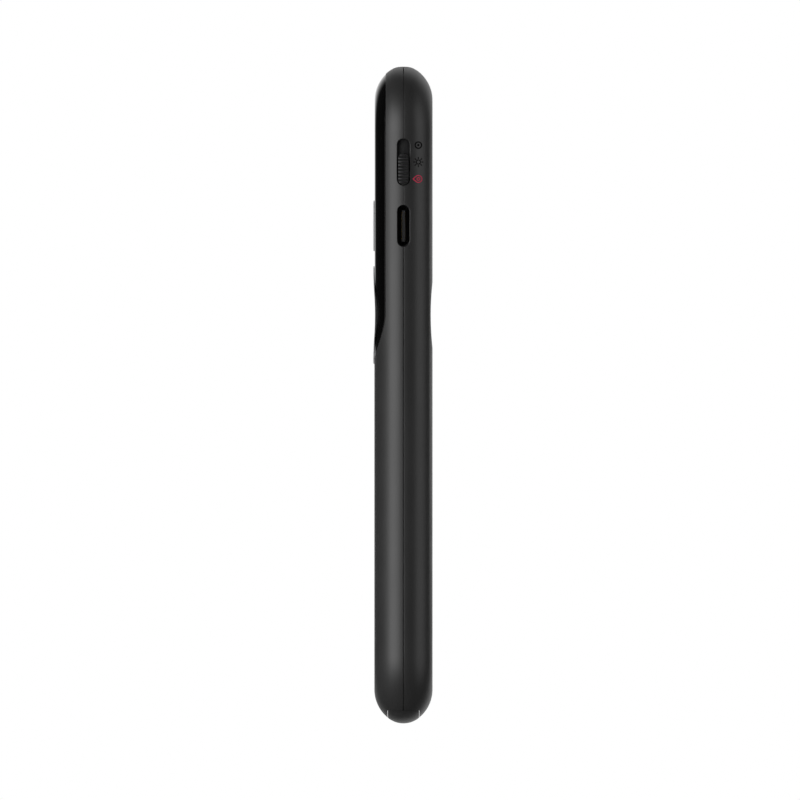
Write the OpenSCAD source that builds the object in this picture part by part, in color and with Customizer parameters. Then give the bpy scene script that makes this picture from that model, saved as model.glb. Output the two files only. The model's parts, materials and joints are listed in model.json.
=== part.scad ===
// Wireless presentation clicker: a slim two-shell wand with a gloss window on its face, a round pointer
// button, a rocking ring around a centre button, a three-place mode slider, a charging port and a plug-in
// radio receiver that is stowed across its tail.
// It lies on its back. +Y runs to the tip, +Z out of the button face, +X to the slider's side.

/* [Body] */
// Length of the body, end to end
body_length = 140; // [138:1:150]
// Width of the body across its button face
body_width = 28.4; // [28:0.2:30]
// Thickness of the body, back to front
body_thickness = 12.4; // [12.2:0.1:13.2]
// Depth of the rounding along the long edges
edge_depth = 7.24; // [7:0.02:7.4]
// Radius of the nose of that rounding
edge_nose_radius = 5.2; // [5:0.05:5.5]
// Wall thickness of the two shells
wall = 1.5; // [1.3:0.05:1.6]
// Gap on the line where the shells meet
parting_gap = 0.12; // [0.05:0.01:0.2]
// Height of the lip that locates the shells
lip_height = 0.8; // [0.6:0.05:1]
// Thickness of that lip
lip_thickness = 0.6; // [0.5:0.05:0.7]
// Clearance of that lip in its rebate
lip_gap = 0.05; // [0.03:0.01:0.1]
// Length of the shallow waist in both faces
waist_length = 14; // [12:0.5:16]
// Depth of that waist
waist_depth = 0.39; // [0.2:0.01:0.5]

/* [Window] */
// Width of the shell left outside the window, seen from the front
window_margin = 1.82; // [1.7:0.02:2]
// Length of the window
window_length = 63; // [61:0.5:65]
// Thickness of the window
window_thickness = 1.2; // [1:0.05:1.3]
// Depth of the window's face below the shell's
window_recess = 0.06; // [0.05:0.01:0.2]
// Gap between the window and its pocket
window_gap = 0.05; // [0.02:0.01:0.1]
// Lowest height of the window's rim below the body's front face
window_skirt = 3.1; // [2.8:0.05:3.2]
// Thickness of the shell's deck under the window
deck_thickness = 1.25; // [1.1:0.05:1.35]

/* [Buttons] */
// Radius of the pointer button
pointer_radius = 5.4; // [5:0.1:5.8]
// Distance of the pointer button's centre from the tip
pointer_from_tip = 34; // [33:0.5:35]
// Outer radius of the nav ring
ring_radius = 10.4; // [10.1:0.1:10.6]
// Inner radius of the nav ring
ring_bore_radius = 6.75; // [6.6:0.05:7]
// Radius of the centre button
centre_radius = 6.4; // [6:0.1:6.45]
// Gap around the pointer button
button_gap = 0.2; // [0.15:0.05:0.3]
// Gap around the nav ring, which leaves room to rock
ring_gap = 0.3; // [0.25:0.05:0.4]
// Width of the window's band below the nav ring
ring_band = 1.12; // [0.9:0.02:1.4]
// Height of the buttons above the body's front face
button_proud = 0.26; // [0.15:0.01:0.35]
// Thickness of the button caps
cap_thickness = 1.74; // [1.5:0.02:1.8]
// Chamfer around the button caps
cap_chamfer = 0.12; // [0.1:0.02:0.3]
// Rise of the pointer button's face towards its middle
crown_height = 0.04; // [0.02:0.01:0.1]
// Depth of the finger dish in the centre button
dish_depth = 0.15; // [0.1:0.01:0.2]
// Radius of the finger dish's curve
dish_radius = 60; // [50:1:70]
// Radius of the pointer button's retaining flange
flange_radius = 6.2; // [6:0.05:6.4]
// Thickness of that flange
flange_thickness = 0.65; // [0.5:0.05:0.8]
// Radius of the stem under the pointer button
stem_radius = 1.3; // [1.1:0.1:1.6]
// Radius of the centre button's guide stem
guide_radius = 2.92; // [2.7:0.01:2.95]
// Outer radius of the nav ring's skirt
skirt_radius = 9.7; // [9.6:0.02:9.75]
// Thickness of that skirt
skirt_thickness = 1; // [0.8:0.05:1.2]
// Radius of the nav ring's pivot pins
pivot_radius = 0.5; // [0.45:0.01:0.55]
// Running clearance of those pins, and of the centre stem's guide
running_gap = 0.04; // [0.02:0.01:0.08]
// Distance of the nav ring's pegs from its centre
peg_offset = 8.6; // [8.4:0.05:8.7]
// Radius of those pegs
peg_radius = 1.1; // [0.9:0.05:1.2]

/* [Circuit board] */
// Thickness of the circuit board
board_thickness = 1; // [0.8:0.05:1.2]
// Gap from the side of the body to the board's edge
board_side = 3.8; // [3.7:0.05:4]
// Length of the board
board_length = 59; // [57:0.5:60]
// Distance of the board's front edge from the tip
board_from_tip = 15.5; // [15.2:0.1:15.8]
// Side of the square push switches
switch_side = 3.4; // [3:0.1:3.8]
// Height of the push switches
switch_height = 1.4; // [1.2:0.05:1.5]
// Radius of their plungers
plunger_radius = 0.9; // [0.7:0.05:1]
// Height of the plungers above the switches
plunger_rise = 0.5; // [0.45:0.01:0.6]
// Distance of the status light from the tip
light_from_tip = 22.5; // [22:0.25:23]
// Radius of the light pipe
light_radius = 0.8; // [0.6:0.05:1]

/* [Charging port] */
// Width of the port's mouth
port_width = 8.34; // [8.3:0.01:8.4]
// Height of the port's mouth
port_height = 2.56; // [2.52:0.01:2.6]
// Thickness of the port's metal shell
port_wall = 0.3; // [0.25:0.01:0.35]
// Length of the port's metal shell
port_length = 7.3; // [7:0.05:7.5]
// Depth of the port's mouth below the side of the body
port_setback = 1; // [0.9:0.05:1.2]
// Distance of the port's centre from the tip
port_from_tip = 34; // [33.5:0.25:34.5]

/* [Mode slider] */
// Length of the slider's slot
slot_length = 10; // [9.8:0.1:10.4]
// Width of the slider's slot
slot_width = 2.7; // [2.5:0.05:2.9]
// Distance of the slot's centre from the tip
slot_from_tip = 20.4; // [20.2:0.1:20.6]
// Clearance around the slider's knob in its slot
knob_gap = 0.25; // [0.2:0.01:0.3]
// Travel of the slider between its end places
slider_travel = 3; // [2.6:0.1:3.2]
// Height of the knob's ribs above the side of the body
knob_proud = 0.4; // [0.2:0.05:0.6]
// Number of ribs on the knob
rib_count = 9; // [5:1:9]
// Spacing of those ribs
rib_pitch = 0.7; // [0.6:0.02:0.72]
// Height of those ribs
rib_height = 0.3; // [0.2:0.02:0.35]
// Thickness of the slider's cover plate
plate_thickness = 0.5; // [0.4:0.05:0.55]

/* [Laser] */
// Radius of the laser's barrel
barrel_radius = 2.6; // [2.4:0.05:2.65]
// Length of the laser's barrel
barrel_length = 10.2; // [9:0.1:10.3]
// Radius of the bezel in the tip
bezel_radius = 2.4; // [2.1:0.05:2.45]
// Radius of the bezel's bore
bezel_bore_radius = 1.5; // [1.2:0.05:1.6]

/* [Battery] */
// Width of the battery
battery_width = 18; // [16:0.25:18]
// Thickness of the battery
battery_thickness = 5; // [4.5:0.1:5.2]
// Thickness of the foam under the battery
foam_thickness = 0.5; // [0.3:0.05:0.6]
// Distance of the battery's back end from the tail
battery_from_tail = 21; // [20.8:0.1:21.5]
// Distance from the battery's front end to the board
battery_to_board = 4.5; // [4:0.25:8]
// Radius of the battery's leads
lead_radius = 0.45; // [0.35:0.05:0.5]

/* [Receiver] */
// Thickness of the receiver's cap
cap_height = 6.5; // [6.2:0.05:6.6]
// Depth of the notch that the cap fills
notch_depth = 2.75; // [2.6:0.05:2.9]
// Gap around the cap in its notch
cap_gap = 0.15; // [0.1:0.01:0.2]
// Width of the receiver's plug
plug_width = 12; // [11.9:0.05:12.05]
// Height of the receiver's plug
plug_height = 4.5; // [4.4:0.05:4.55]
// Length of the receiver's plug
plug_length = 11.75; // [11.4:0.05:11.9]
// Thickness of the plug's metal shell
plug_wall = 0.3; // [0.25:0.01:0.35]
// Clearance around the plug in its bay
plug_gap = 0.15; // [0.1:0.01:0.2]
// Wall thickness of the bay's liner
bay_wall = 0.75; // [0.6:0.05:0.8]

/* [Hidden] */
$fn = 72;

// Colours
shell_colour = "#454446";
button_colour = "#3a393b";
gloss_colour = "#101011";
inner_colour = "#232324";
steel_colour = "#b9bbbe";
gold_colour = "#d8b25a";
board_colour = "#1f5d3a";

// Body, as levels along Z and stations along Y
mid_z = body_thickness / 2;
tip_y = body_length / 2;
flat_half = body_width / 2 - edge_depth;
straight_half = tip_y - body_width / 2;
nose_centre = edge_depth - edge_nose_radius;
shoulder_radius = (nose_centre ^ 2 + mid_z ^ 2 - edge_nose_radius ^ 2)
    / (2 * (mid_z - edge_nose_radius));
shoulder_drop = shoulder_radius - mid_z;
tangent_x = nose_centre / (shoulder_radius - edge_nose_radius);
waist_radius = ((waist_length / 2) ^ 2 + waist_depth ^ 2) / (2 * waist_depth);
overcut = 1;
root = 0.5;

// Window and deck
window_radius = body_width / 2 - window_margin;
window_low_y = tip_y - window_margin - window_length;
window_arc_y = window_low_y + window_radius;
window_floor_inset = window_recess + window_thickness;
pocket_inset = window_floor_inset + window_gap;
deck_inset = pocket_inset + deck_thickness;
deck_z = body_thickness - deck_inset;
window_skirt_z = body_thickness - window_skirt;
side_cavity_drop = 1.4;
side_cavity_z = deck_z - side_cavity_drop;
pocket_low_y = window_low_y - wall;

// Buttons
well_radius = ring_radius + ring_gap;
nav_y = window_low_y + ring_band + well_radius;
pointer_y = tip_y - pointer_from_tip;
face_z = body_thickness + button_proud;
cap_z = face_z - cap_thickness;
carrier_thickness = 0.8;
carrier_drop = 1.8;
carrier_top = deck_z - carrier_drop;
carrier_z = carrier_top - carrier_thickness;
pivot_rise = 0.6;
pivot_z = carrier_top + pivot_rise;
skirt_rise = 0.2;
skirt_z = pivot_z + skirt_rise;
skirt_gap = 0.25;
pivot_length = 1.2;
pivot_tip_x = skirt_radius + pivot_length;
saddle_half = 1;
saddle_gap = 0.1;
saddle_x = skirt_radius + skirt_gap;
saddle_tip_x = pivot_tip_x + saddle_gap;
guide_wall = 1;
guide_drop = 0.9;
guide_top = cap_z - guide_drop;
collar_lip = 0.55;
collar_thickness = 0.25;
peg_hole_gap = 0.4;
flange_gap = 0.1;
flange_top = deck_z - flange_gap;
carrier_corner_radius = 2.1;
stake_radius = 0.7;
stake_post_radius = 1.6;
stake_rise = 0.4;
fixing_gap = 0.02;

// Screws: two in the nav carrier's front corners, two beside the laser
screw_radius = 0.8;
screw_head_radius = 1.5;
screw_head_height = 0.8;
screw_head_drop = 2;
screw_length = 7;
screw_head_top = body_thickness - screw_head_drop;
boss_radius = 2.2;
boss_neck_radius = 1.5;
boss_gap = 0.54;
corner_inset = 2.4;
corner_reach = well_radius + boss_gap + boss_radius;
corner_x = body_width / 2 - board_side - corner_inset;
corner_y = sqrt(corner_reach ^ 2 - corner_x ^ 2);
tip_screw_x = 5.8;
tip_screw_from_tip = 10.4;
tip_screw = [tip_screw_x, tip_y - tip_screw_from_tip];
nav_screw = [corner_x, nav_y + corner_y];

// Board
port_drop = 1.2;
board_top = mid_z - port_drop;
board_z = board_top - board_thickness;
board_half = body_width / 2 - board_side;
board_front_y = tip_y - board_from_tip;
board_back_y = board_front_y - board_length;
board_gap = 0.15;
neck_gap = 0.05;
board_post_radius = 1.5;
board_post_inset = 2.2;
switch_top = board_top + switch_height;
plunger_top = switch_top + plunger_rise;
plunger_gap = 0.2;
plunger_depth = 0.65;
switch_floor = 0.3;
light_y = tip_y - light_from_tip;
led_side = 1.6;
led_height = 0.6;
led_gap = 0.2;
light_gap = 0.05;
antenna_size = [5, 2, 1];
antenna_inset = 3;
chip_column = 4.2;
chip_far_column = 15.6;
processor_size = [5, 5, 0.9];
processor_from_tip = 29;
radio_size = [3, 3, 0.8];
radio_from_tip = 36.5;
crystal_size = [3.2, 2.5, 0.7];
crystal_from_tip = 23.5;
charger_size = [3, 3, 0.8];
charger_from_tip = 58;
driver_size = [3, 3, 0.8];
driver_from_tip = 60;
chip_row_count = 6;
chip_row_pitch = 1.7;
chip_row_size = [0.5, 1, 0.45];
chip_row_gap = 0.6;
chip_row_from_tip = 31.5;

// Charging port
port_y = tip_y - port_from_tip;
port_mouth_x = body_width / 2 - port_setback;
port_back_x = port_mouth_x - port_length;
port_fit = 0.07;
port_mouth_gap = 0.03;
port_block_length = 1;
tongue_width = 6.69;
tongue_thickness = 0.7;
tongue_setback = 0.8;
port_contact_pitch = 0.5;
port_contact_count = 12;
port_contact_size = [3.4, 0.25, 0.05];
port_tab = [1.6, 0.8, 0.3];

// Mode slider
slot_y = tip_y - slot_from_tip;
knob_end_gap = 0.15;
knob_width = slot_width - 2 * knob_gap;
knob_length = slot_length - 2 * knob_end_gap - slider_travel;
knob_y = slot_y - slider_travel / 2;
plate_gap = 0.3;
plate_inset = wall + plate_gap;
plate_overlap = 3.3;
plate_half_height = 1.9;
fork_half = 1.45;
fork_reach = 2.1;
lever_side = 1.2;
lever_gap = 0.05;
slide_switch_drop = 7.7;
slide_switch_x = body_width / 2 - slide_switch_drop;
slide_switch_depth = 3.3;
slide_switch_length = 9;
lever_reach = 1.4;

// Laser
flange_seat_drop = 3.4;
flange_seat_y = tip_y - flange_seat_drop;
bezel_flange_width = 0.5;
bezel_flange_radius = bezel_radius + bezel_flange_width;
bezel_flange_thickness = 0.6;
bezel_gap = 0.05;
barrel_front_y = flange_seat_y - bezel_gap - bezel_flange_thickness - bezel_gap;
barrel_back_y = barrel_front_y - barrel_length;
barrel_wall = 0.6;
barrel_bore_radius = barrel_radius - barrel_wall;
lens_thickness = 1.2;
laser_lead_radius = 0.25;
laser_window_thickness = 0.6;
laser_window_y = tip_y - edge_nose_radius + sqrt(edge_nose_radius ^ 2 - bezel_bore_radius ^ 2);
cradle_thickness = 1.5;
cradle_half = 3.8;
cradle_from_tip = [6, 11.5];
cradle_gap = 0.03;

// Battery
battery_back_y = battery_from_tail - tip_y;
battery_front_y = board_back_y - battery_to_board;
battery_length = battery_front_y - battery_back_y;
battery_z = wall + foam_thickness;
battery_top = battery_z + battery_thickness;
battery_wall = 1.2;
battery_wall_height = 3.4;
battery_wall_top = wall + battery_wall_height;
battery_wall_half = 8.5;
battery_gap = 0.2;
foam_width = 12;
hold_down_gap = 0.05;
hold_down_half = 8;
connector_size = [6, 4, 2.4];
connector_inset = 0.3;
connector_y = board_back_y + connector_inset;
lead_x = 1.25;
lead_rise = 0.9;
lead_z = board_top + lead_rise;

// Receiver
notch_half = cap_height / 2 + cap_gap;
notch_y = notch_depth - tip_y;
tail_wall = 1.25;
bay_front_y = notch_y + tail_wall;
bay_hole = [plug_width + 2 * plug_gap, plug_height + 2 * plug_gap];
bay_size = [bay_hole[0] + 2 * bay_wall, bay_hole[1] + 2 * bay_wall];
cap_end_gap = 0.1;
plug_y = notch_y - cap_end_gap;
bay_spare = 0.4;
bay_depth = plug_y + plug_length + bay_spare - bay_front_y;
bay_end_y = bay_front_y + bay_depth + bay_wall;
bay_fit = 0.05;
magnet_size = [6, 1.5, 3];
insulator_height = 1.95;
insulator_gap = 0.02;
plug_window = 2.2;
plug_window_reach = 6;
plug_window_y = plug_y + plug_window_reach;
plug_contact_count = 4;
plug_contact_pitch = 2.3;
plug_contact_size = [1, 7.5, 0.1];

// Pictograms printed beside the slider
print_thickness = 0.035;
print_lift = 0.005;
mark_drop = 3.18;
mark_z = mid_z - mark_drop;
mark_pitch = 3.6;
mark_radius = 0.75;
mark_line = 0.19;
beam_radius = 0.8;
beam_reach = 1.26;
beam_line = 0.16;
beam_spot = 0.4;
sun_radius = 0.5;
sun_reach = 1.06;
sun_rays = 8;

// A box across the whole body between two heights and two stations along its length
module zone(z_low, z_high, y_low = -body_length, y_high = body_length) {
  translate([-body_width, y_low, z_low])
    cube([2 * body_width, y_high - y_low, z_high - z_low]);
}

// The body's outline from the front, drawn in by the inset
module plan(inset) {
  square([body_width - 2 * inset, 2 * straight_half], center = true);
  for (side = [-1, 1])
    translate([0, side * straight_half])
      circle(r = body_width / 2 - inset);
}

// Half of the body's cross-section: a flat, a shoulder arc and a nose arc, all tangent
module half_section(inset) {
  turn = (shoulder_radius - inset) * tangent_x;
  translate([0, inset - mid_z])
    square([flat_half, body_thickness - 2 * inset]);
  translate([flat_half, 0]) {
    intersection() {
      translate([0, -shoulder_drop])
        circle(r = shoulder_radius - inset);
      translate([0, shoulder_drop])
        circle(r = shoulder_radius - inset);
      translate([0, -mid_z])
        square([turn, body_thickness]);
    }
    intersection() {
      translate([nose_centre, 0])
        circle(r = edge_nose_radius - inset);
      translate([turn, -mid_z])
        square([edge_depth, body_thickness]);
    }
  }
}

// The body's outer form, or what lies inside it by the inset
module body_solid(inset) {
  difference() {
    translate([0, 0, mid_z]) {
      rotate([90, 0, 0])
        linear_extrude(2 * straight_half, center = true) {
          half_section(inset);
          mirror([1, 0])
            half_section(inset);
        }
      for (side = [0, 1])
        mirror([0, side, 0])
          translate([0, straight_half, 0])
            rotate_extrude(angle = 180)
              half_section(inset);
    }
    waist(0, waist_radius + inset);
    waist(1, waist_radius + inset);
  }
}

// The roller that presses the waist into the front face, or into the back when it is flipped
module waist(flip, radius) {
  translate([0, nav_y, mid_z])
    mirror([0, 0, flip])
      translate([0, 0, mid_z + waist_radius - waist_depth])
        rotate([0, 90, 0])
          cylinder(r = radius, h = body_width + overcut, center = true, $fn = 360);
}

// A strip of the body's +X side between two insets
module side_skin(outer, inner, y_low, y_high) {
  translate([0, y_high, mid_z])
    rotate([90, 0, 0])
      linear_extrude(y_high - y_low)
        difference() {
          half_section(outer);
          half_section(inner);
        }
}

// The window's outline from the front
module pill(radius, height) {
  linear_extrude(height) {
    translate([-radius, window_arc_y])
      square([2 * radius, straight_half - window_arc_y]);
    for (y = [window_arc_y, straight_half])
      translate([0, y])
        circle(r = radius);
  }
}

// A rod along +Y from one station to another, on the laser's axis
module axis_rod(radius, y_low, y_high) {
  translate([0, y_high, mid_z])
    rotate([90, 0, 0])
      cylinder(r = radius, h = y_high - y_low);
}

// A rod along X through the nav ring's pivot
module pivot_rod(radius, x_low, x_high) {
  translate([x_low, nav_y, pivot_z])
    rotate([0, 90, 0])
      cylinder(r = radius, h = x_high - x_low);
}

// A bar along X with a stadium section, long in Y
module side_stadium(length, height, x_low, x_high) {
  translate([x_low, 0, 0])
    rotate([0, 90, 0])
      linear_extrude(x_high - x_low) {
        square([height, length - height], center = true);
        for (side = [-1, 1])
          translate([0, side * (length - height) / 2])
            circle(d = height);
      }
}

// Places children at both sides of the body
module both_sides() {
  children();
  mirror([1, 0, 0])
    children();
}

// Every place of a housing screw
module at_screws() {
  both_sides()
    translate(tip_screw)
      children();
  both_sides()
    translate(nav_screw)
      children();
}

// What both shells are cut by
module shell_openings() {
  // the receiver's notch, the hole for its plug and the pocket of its bay
  zone(mid_z - notch_half, mid_z + notch_half, -body_length, notch_y);
  translate([-bay_hole[0] / 2, notch_y - overcut, mid_z - bay_hole[1] / 2])
    cube([bay_hole[0], tail_wall + 2 * overcut, bay_hole[1]]);
  translate([-bay_size[0] / 2 - bay_fit, bay_front_y, mid_z - bay_size[1] / 2 - bay_fit])
    cube([bay_size[0] + 2 * bay_fit, bay_end_y - bay_front_y + bay_fit, bay_size[1] + 2 * bay_fit]);
  // the charging port's mouth and the seat of its metal shell
  translate([0, port_y, mid_z]) {
    side_stadium(port_width + 2 * (port_wall - port_mouth_gap), port_height + 2 * port_mouth_gap,
      port_back_x, body_width);
    side_stadium(port_width + 2 * (port_wall + port_fit), port_height + 2 * (port_wall + port_fit),
      port_back_x, port_mouth_x + port_fit);
  }
  // the slider's slot
  translate([0, slot_y, mid_z])
    side_stadium(slot_length, slot_width, slide_switch_x + slide_switch_depth, body_width);
  // the bezel's hole and its flange's seat
  axis_rod(bezel_radius + bezel_gap, barrel_front_y, tip_y + overcut);
  axis_rod(bezel_flange_radius + bezel_gap, barrel_front_y - overcut, flange_seat_y);
}

// Half-round ribs that hold the laser's barrel, from one height to another
module cradles(z_low, z_high) {
  for (from_tip = cradle_from_tip)
    difference() {
      translate([-cradle_half, tip_y - from_tip - cradle_thickness, z_low])
        cube([2 * cradle_half, cradle_thickness, z_high - z_low]);
      axis_rod(barrel_radius + cradle_gap, 0, tip_y);
    }
}

module front_shell() {
  color(shell_colour)
  difference() {
    union() {
      difference() {
        intersection() {
          body_solid(0);
          zone(mid_z + parting_gap / 2, body_thickness + overcut);
        }
        front_cavity();
        translate([0, 0, mid_z - overcut])
          linear_extrude(overcut + lip_height + 2 * lip_gap)
            difference() {
              plan(wall - lip_gap - lip_thickness - lip_gap);
              plan(wall + lip_gap);
            }
        both_sides()
          translate([saddle_x - saddle_gap, nav_y - saddle_half - saddle_gap, mid_z])
            cube([saddle_tip_x + 2 * saddle_gap - saddle_x, 2 * (saddle_half + saddle_gap), pivot_z - mid_z]);
      }
      front_fixings();
    }
    difference() {
      translate([0, 0, window_skirt_z - window_gap])
        pill(window_radius + window_gap, body_thickness);
      body_solid(pocket_inset);
    }
    both_sides()
      pivot_rod(pivot_radius + running_gap, 0, saddle_tip_x);
    translate([0, pointer_y, flange_top])
      cylinder(r = pointer_radius + button_gap, h = body_thickness);
    translate([0, nav_y, deck_z])
      cylinder(r = well_radius, h = body_thickness);
    translate([0, nav_y, carrier_z])
      cylinder(r = skirt_radius + skirt_gap, h = body_thickness);
    translate([0, light_y, carrier_z])
      cylinder(r = light_radius + light_gap, h = body_thickness);
    at_screws() {
      translate([0, 0, screw_head_top - screw_head_height])
        cylinder(r = screw_head_radius + light_gap, h = body_thickness);
      cylinder(r = screw_radius + fixing_gap, h = body_thickness);
    }
    shell_openings();
  }
}

// The hollow of the front shell: thin-walled at the sides and the tail, thick where the deck is
module front_cavity() {
  intersection() {
    body_solid(wall);
    union() {
      zone(0, side_cavity_z, bay_front_y, tip_y);
      zone(0, body_thickness, bay_front_y, pocket_low_y);
    }
  }
  intersection() {
    body_solid(deck_inset);
    zone(0, body_thickness, bay_front_y, tip_y);
  }
}

// Bosses, posts and ribs that hang from the front shell
module front_fixings() {
  both_sides() {
    translate([tip_screw[0], tip_screw[1], carrier_z + fixing_gap])
      cylinder(r = boss_radius, h = deck_z + root - carrier_z);
    translate([nav_screw[0], nav_screw[1], carrier_top])
      cylinder(r = boss_radius, h = deck_z + root - carrier_top);
    translate([corner_x, nav_y - corner_y, carrier_top])
      cylinder(r = stake_post_radius, h = deck_z + root - carrier_top);
    translate([corner_x, nav_y - corner_y, carrier_z - stake_rise])
      cylinder(r = stake_radius, h = deck_z - carrier_z);
    translate([saddle_x, nav_y - saddle_half, pivot_z])
      cube([saddle_tip_x + saddle_gap - saddle_x, 2 * saddle_half, deck_z - pivot_z]);
  }
  cradles(mid_z + parting_gap / 2, deck_z + root);
  for (y = [battery_back_y + battery_length / 4, battery_front_y - battery_length / 4])
    translate([-hold_down_half, y - battery_wall / 2, battery_top + hold_down_gap])
      cube([2 * hold_down_half, battery_wall, body_thickness - wall + root - battery_top]);
  translate([-hold_down_half, bay_end_y - 2 * battery_wall, mid_z + bay_size[1] / 2])
    cube([2 * hold_down_half, battery_wall, mid_z - bay_size[1] / 2 - wall + root]);
}

module back_shell() {
  color(shell_colour)
  difference() {
    union() {
      difference() {
        intersection() {
          body_solid(0);
          zone(-overcut, mid_z - parting_gap / 2);
        }
        intersection() {
          body_solid(wall);
          zone(-overcut, body_thickness, bay_front_y, tip_y);
        }
      }
      translate([0, 0, mid_z - root])
        linear_extrude(root + lip_height)
          difference() {
            plan(wall - lip_gap - lip_thickness);
            plan(wall - lip_gap);
          }
      back_fixings();
    }
    at_screws()
      translate([0, 0, screw_head_top - screw_head_height - screw_length])
        cylinder(r = screw_radius + fixing_gap, h = body_thickness);
    shell_openings();
  }
}

// Bosses, posts and ribs that stand on the back shell
module back_fixings() {
  floor_z = wall - root;
  both_sides() {
    translate([tip_screw[0], tip_screw[1], floor_z])
      cylinder(r = boss_radius, h = carrier_z - floor_z);
    translate([nav_screw[0], nav_screw[1], floor_z])
      cylinder(r = boss_radius, h = board_z - floor_z);
    translate([nav_screw[0], nav_screw[1], floor_z])
      cylinder(r = boss_neck_radius, h = carrier_z - floor_z);
    for (y = [board_back_y + board_post_inset, board_front_y - board_post_inset])
      translate([board_half - board_post_inset, y, floor_z])
        cylinder(r = board_post_radius, h = board_z - floor_z);
  }
  cradles(floor_z, mid_z - parting_gap / 2);
  for (y = [battery_back_y - battery_gap - battery_wall, battery_front_y + battery_gap])
    translate([-battery_wall_half, y, floor_z])
      cube([2 * battery_wall_half, battery_wall, battery_wall_top - floor_z]);
  translate([-magnet_size[0], bay_end_y + magnet_size[1] + bay_fit, floor_z])
    cube([2 * magnet_size[0], battery_wall, mid_z - floor_z]);
  translate([-hold_down_half, bay_end_y - 2 * battery_wall, floor_z])
    cube([2 * hold_down_half, battery_wall, mid_z - bay_size[1] / 2 - floor_z]);
}

module front_window() {
  color(gloss_colour)
  difference() {
    intersection() {
      body_solid(window_recess);
      translate([0, 0, window_skirt_z])
        pill(window_radius, body_thickness);
    }
    body_solid(window_floor_inset);
    translate([0, pointer_y, 0])
      cylinder(r = pointer_radius + button_gap, h = 2 * body_thickness);
    translate([0, nav_y, 0])
      cylinder(r = well_radius, h = 2 * body_thickness);
    translate([0, light_y, 0])
      cylinder(r = light_radius + light_gap, h = 2 * body_thickness);
  }
}

module housing_screws() {
  color(steel_colour)
  at_screws()
    translate([0, 0, screw_head_top - screw_head_height]) {
      cylinder(r = screw_head_radius, h = screw_head_height);
      translate([0, 0, -screw_length])
        cylinder(r = screw_radius, h = screw_length + root);
    }
}

// The ball that presses the finger dish into the centre button
module finger_dish() {
  translate([0, nav_y, face_z - waist_depth - dish_depth + dish_radius])
    sphere(r = dish_radius, $fn = 200);
}

module pointer_button() {
  hollow_radius = pointer_radius - skirt_thickness;
  rim_z = face_z - crown_height;
  color(button_colour)
  translate([0, pointer_y, 0])
    rotate_extrude()
      polygon([
        [0, plunger_top],
        [stem_radius, plunger_top],
        [stem_radius, cap_z],
        [hollow_radius, cap_z],
        [hollow_radius, flange_top - flange_thickness],
        [flange_radius, flange_top - flange_thickness],
        [flange_radius, flange_top],
        [pointer_radius, flange_top],
        [pointer_radius, rim_z - cap_chamfer],
        [pointer_radius - cap_chamfer, rim_z],
        [0, face_z]
      ]);
}

module nav_ring() {
  color(button_colour)
  intersection() {
    body_solid(-button_proud);
    union() {
      translate([0, nav_y, 0])
        rotate_extrude()
          polygon([
            [ring_bore_radius, cap_z],
            [skirt_radius - skirt_thickness, cap_z],
            [skirt_radius - skirt_thickness, skirt_z],
            [skirt_radius, skirt_z],
            [skirt_radius, cap_z],
            [ring_radius, cap_z],
            [ring_radius, face_z - cap_chamfer],
            [ring_radius - cap_chamfer, face_z],
            [ring_bore_radius + cap_chamfer, face_z],
            [ring_bore_radius, face_z - cap_chamfer]
          ]);
      both_sides() {
        translate([skirt_radius - skirt_thickness, nav_y - saddle_half, pivot_z - pivot_radius])
          cube([skirt_thickness - skirt_gap / 2, 2 * saddle_half, cap_z - pivot_z]);
        pivot_rod(pivot_radius, skirt_radius - skirt_thickness, pivot_tip_x);
      }
      for (side = [-1, 1])
        translate([0, nav_y + side * peg_offset, plunger_top])
          cylinder(r = peg_radius, h = cap_z + root - plunger_top);
    }
  }
}

module centre_button() {
  color(button_colour)
  difference() {
    translate([0, nav_y, 0])
      rotate_extrude()
        polygon([
          [0, plunger_top],
          [guide_radius + collar_lip, plunger_top],
          [guide_radius + collar_lip, plunger_top + collar_thickness],
          [guide_radius, plunger_top + collar_thickness],
          [guide_radius, cap_z],
          [centre_radius, cap_z],
          [centre_radius, face_z - cap_chamfer],
          [centre_radius - cap_chamfer, face_z],
          [0, face_z]
        ]);
    waist(0, waist_radius - button_proud);
    finger_dish();
  }
}

// A plate clamped under the deck, with the nav ring's saddles and the centre button's guide
module nav_carrier() {
  color(inner_colour)
  difference() {
    union() {
      translate([0, nav_y, carrier_z])
        linear_extrude(carrier_thickness) {
          square([2 * corner_x, 2 * (corner_y + carrier_corner_radius)], center = true);
          square([2 * (corner_x + carrier_corner_radius), 2 * corner_y], center = true);
          square([2 * saddle_tip_x, 2 * saddle_half], center = true);
          for (x = [-1, 1], y = [-1, 1])
            translate([x * corner_x, y * corner_y])
              circle(r = carrier_corner_radius);
        }
      translate([0, nav_y, carrier_z])
        cylinder(r = guide_radius + running_gap + guide_wall, h = guide_top - carrier_z);
      both_sides()
        translate([saddle_x - saddle_gap, nav_y - saddle_half, carrier_z])
          cube([saddle_tip_x - saddle_x + saddle_gap, 2 * saddle_half, pivot_z - carrier_z]);
    }
    translate([0, nav_y, 0])
      cylinder(r = guide_radius + running_gap, h = body_thickness);
    for (side = [-1, 1])
      translate([0, nav_y + side * peg_offset, 0])
        cylinder(r = peg_radius + peg_hole_gap, h = body_thickness);
    both_sides() {
      pivot_rod(pivot_radius + running_gap, saddle_x - overcut, saddle_tip_x + overcut);
      translate([nav_screw[0], nav_screw[1], 0])
        cylinder(r = screw_radius + fixing_gap, h = body_thickness);
      translate([corner_x, nav_y - corner_y, 0])
        cylinder(r = stake_radius + fixing_gap, h = body_thickness);
    }
  }
}

module light_pipe() {
  bottom_z = board_top + led_height + led_gap;
  color("#e8e8e4")
  intersection() {
    translate([0, light_y, bottom_z])
      cylinder(r = light_radius, h = body_thickness);
    zone(0, body_thickness - window_recess);
  }
}

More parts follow.
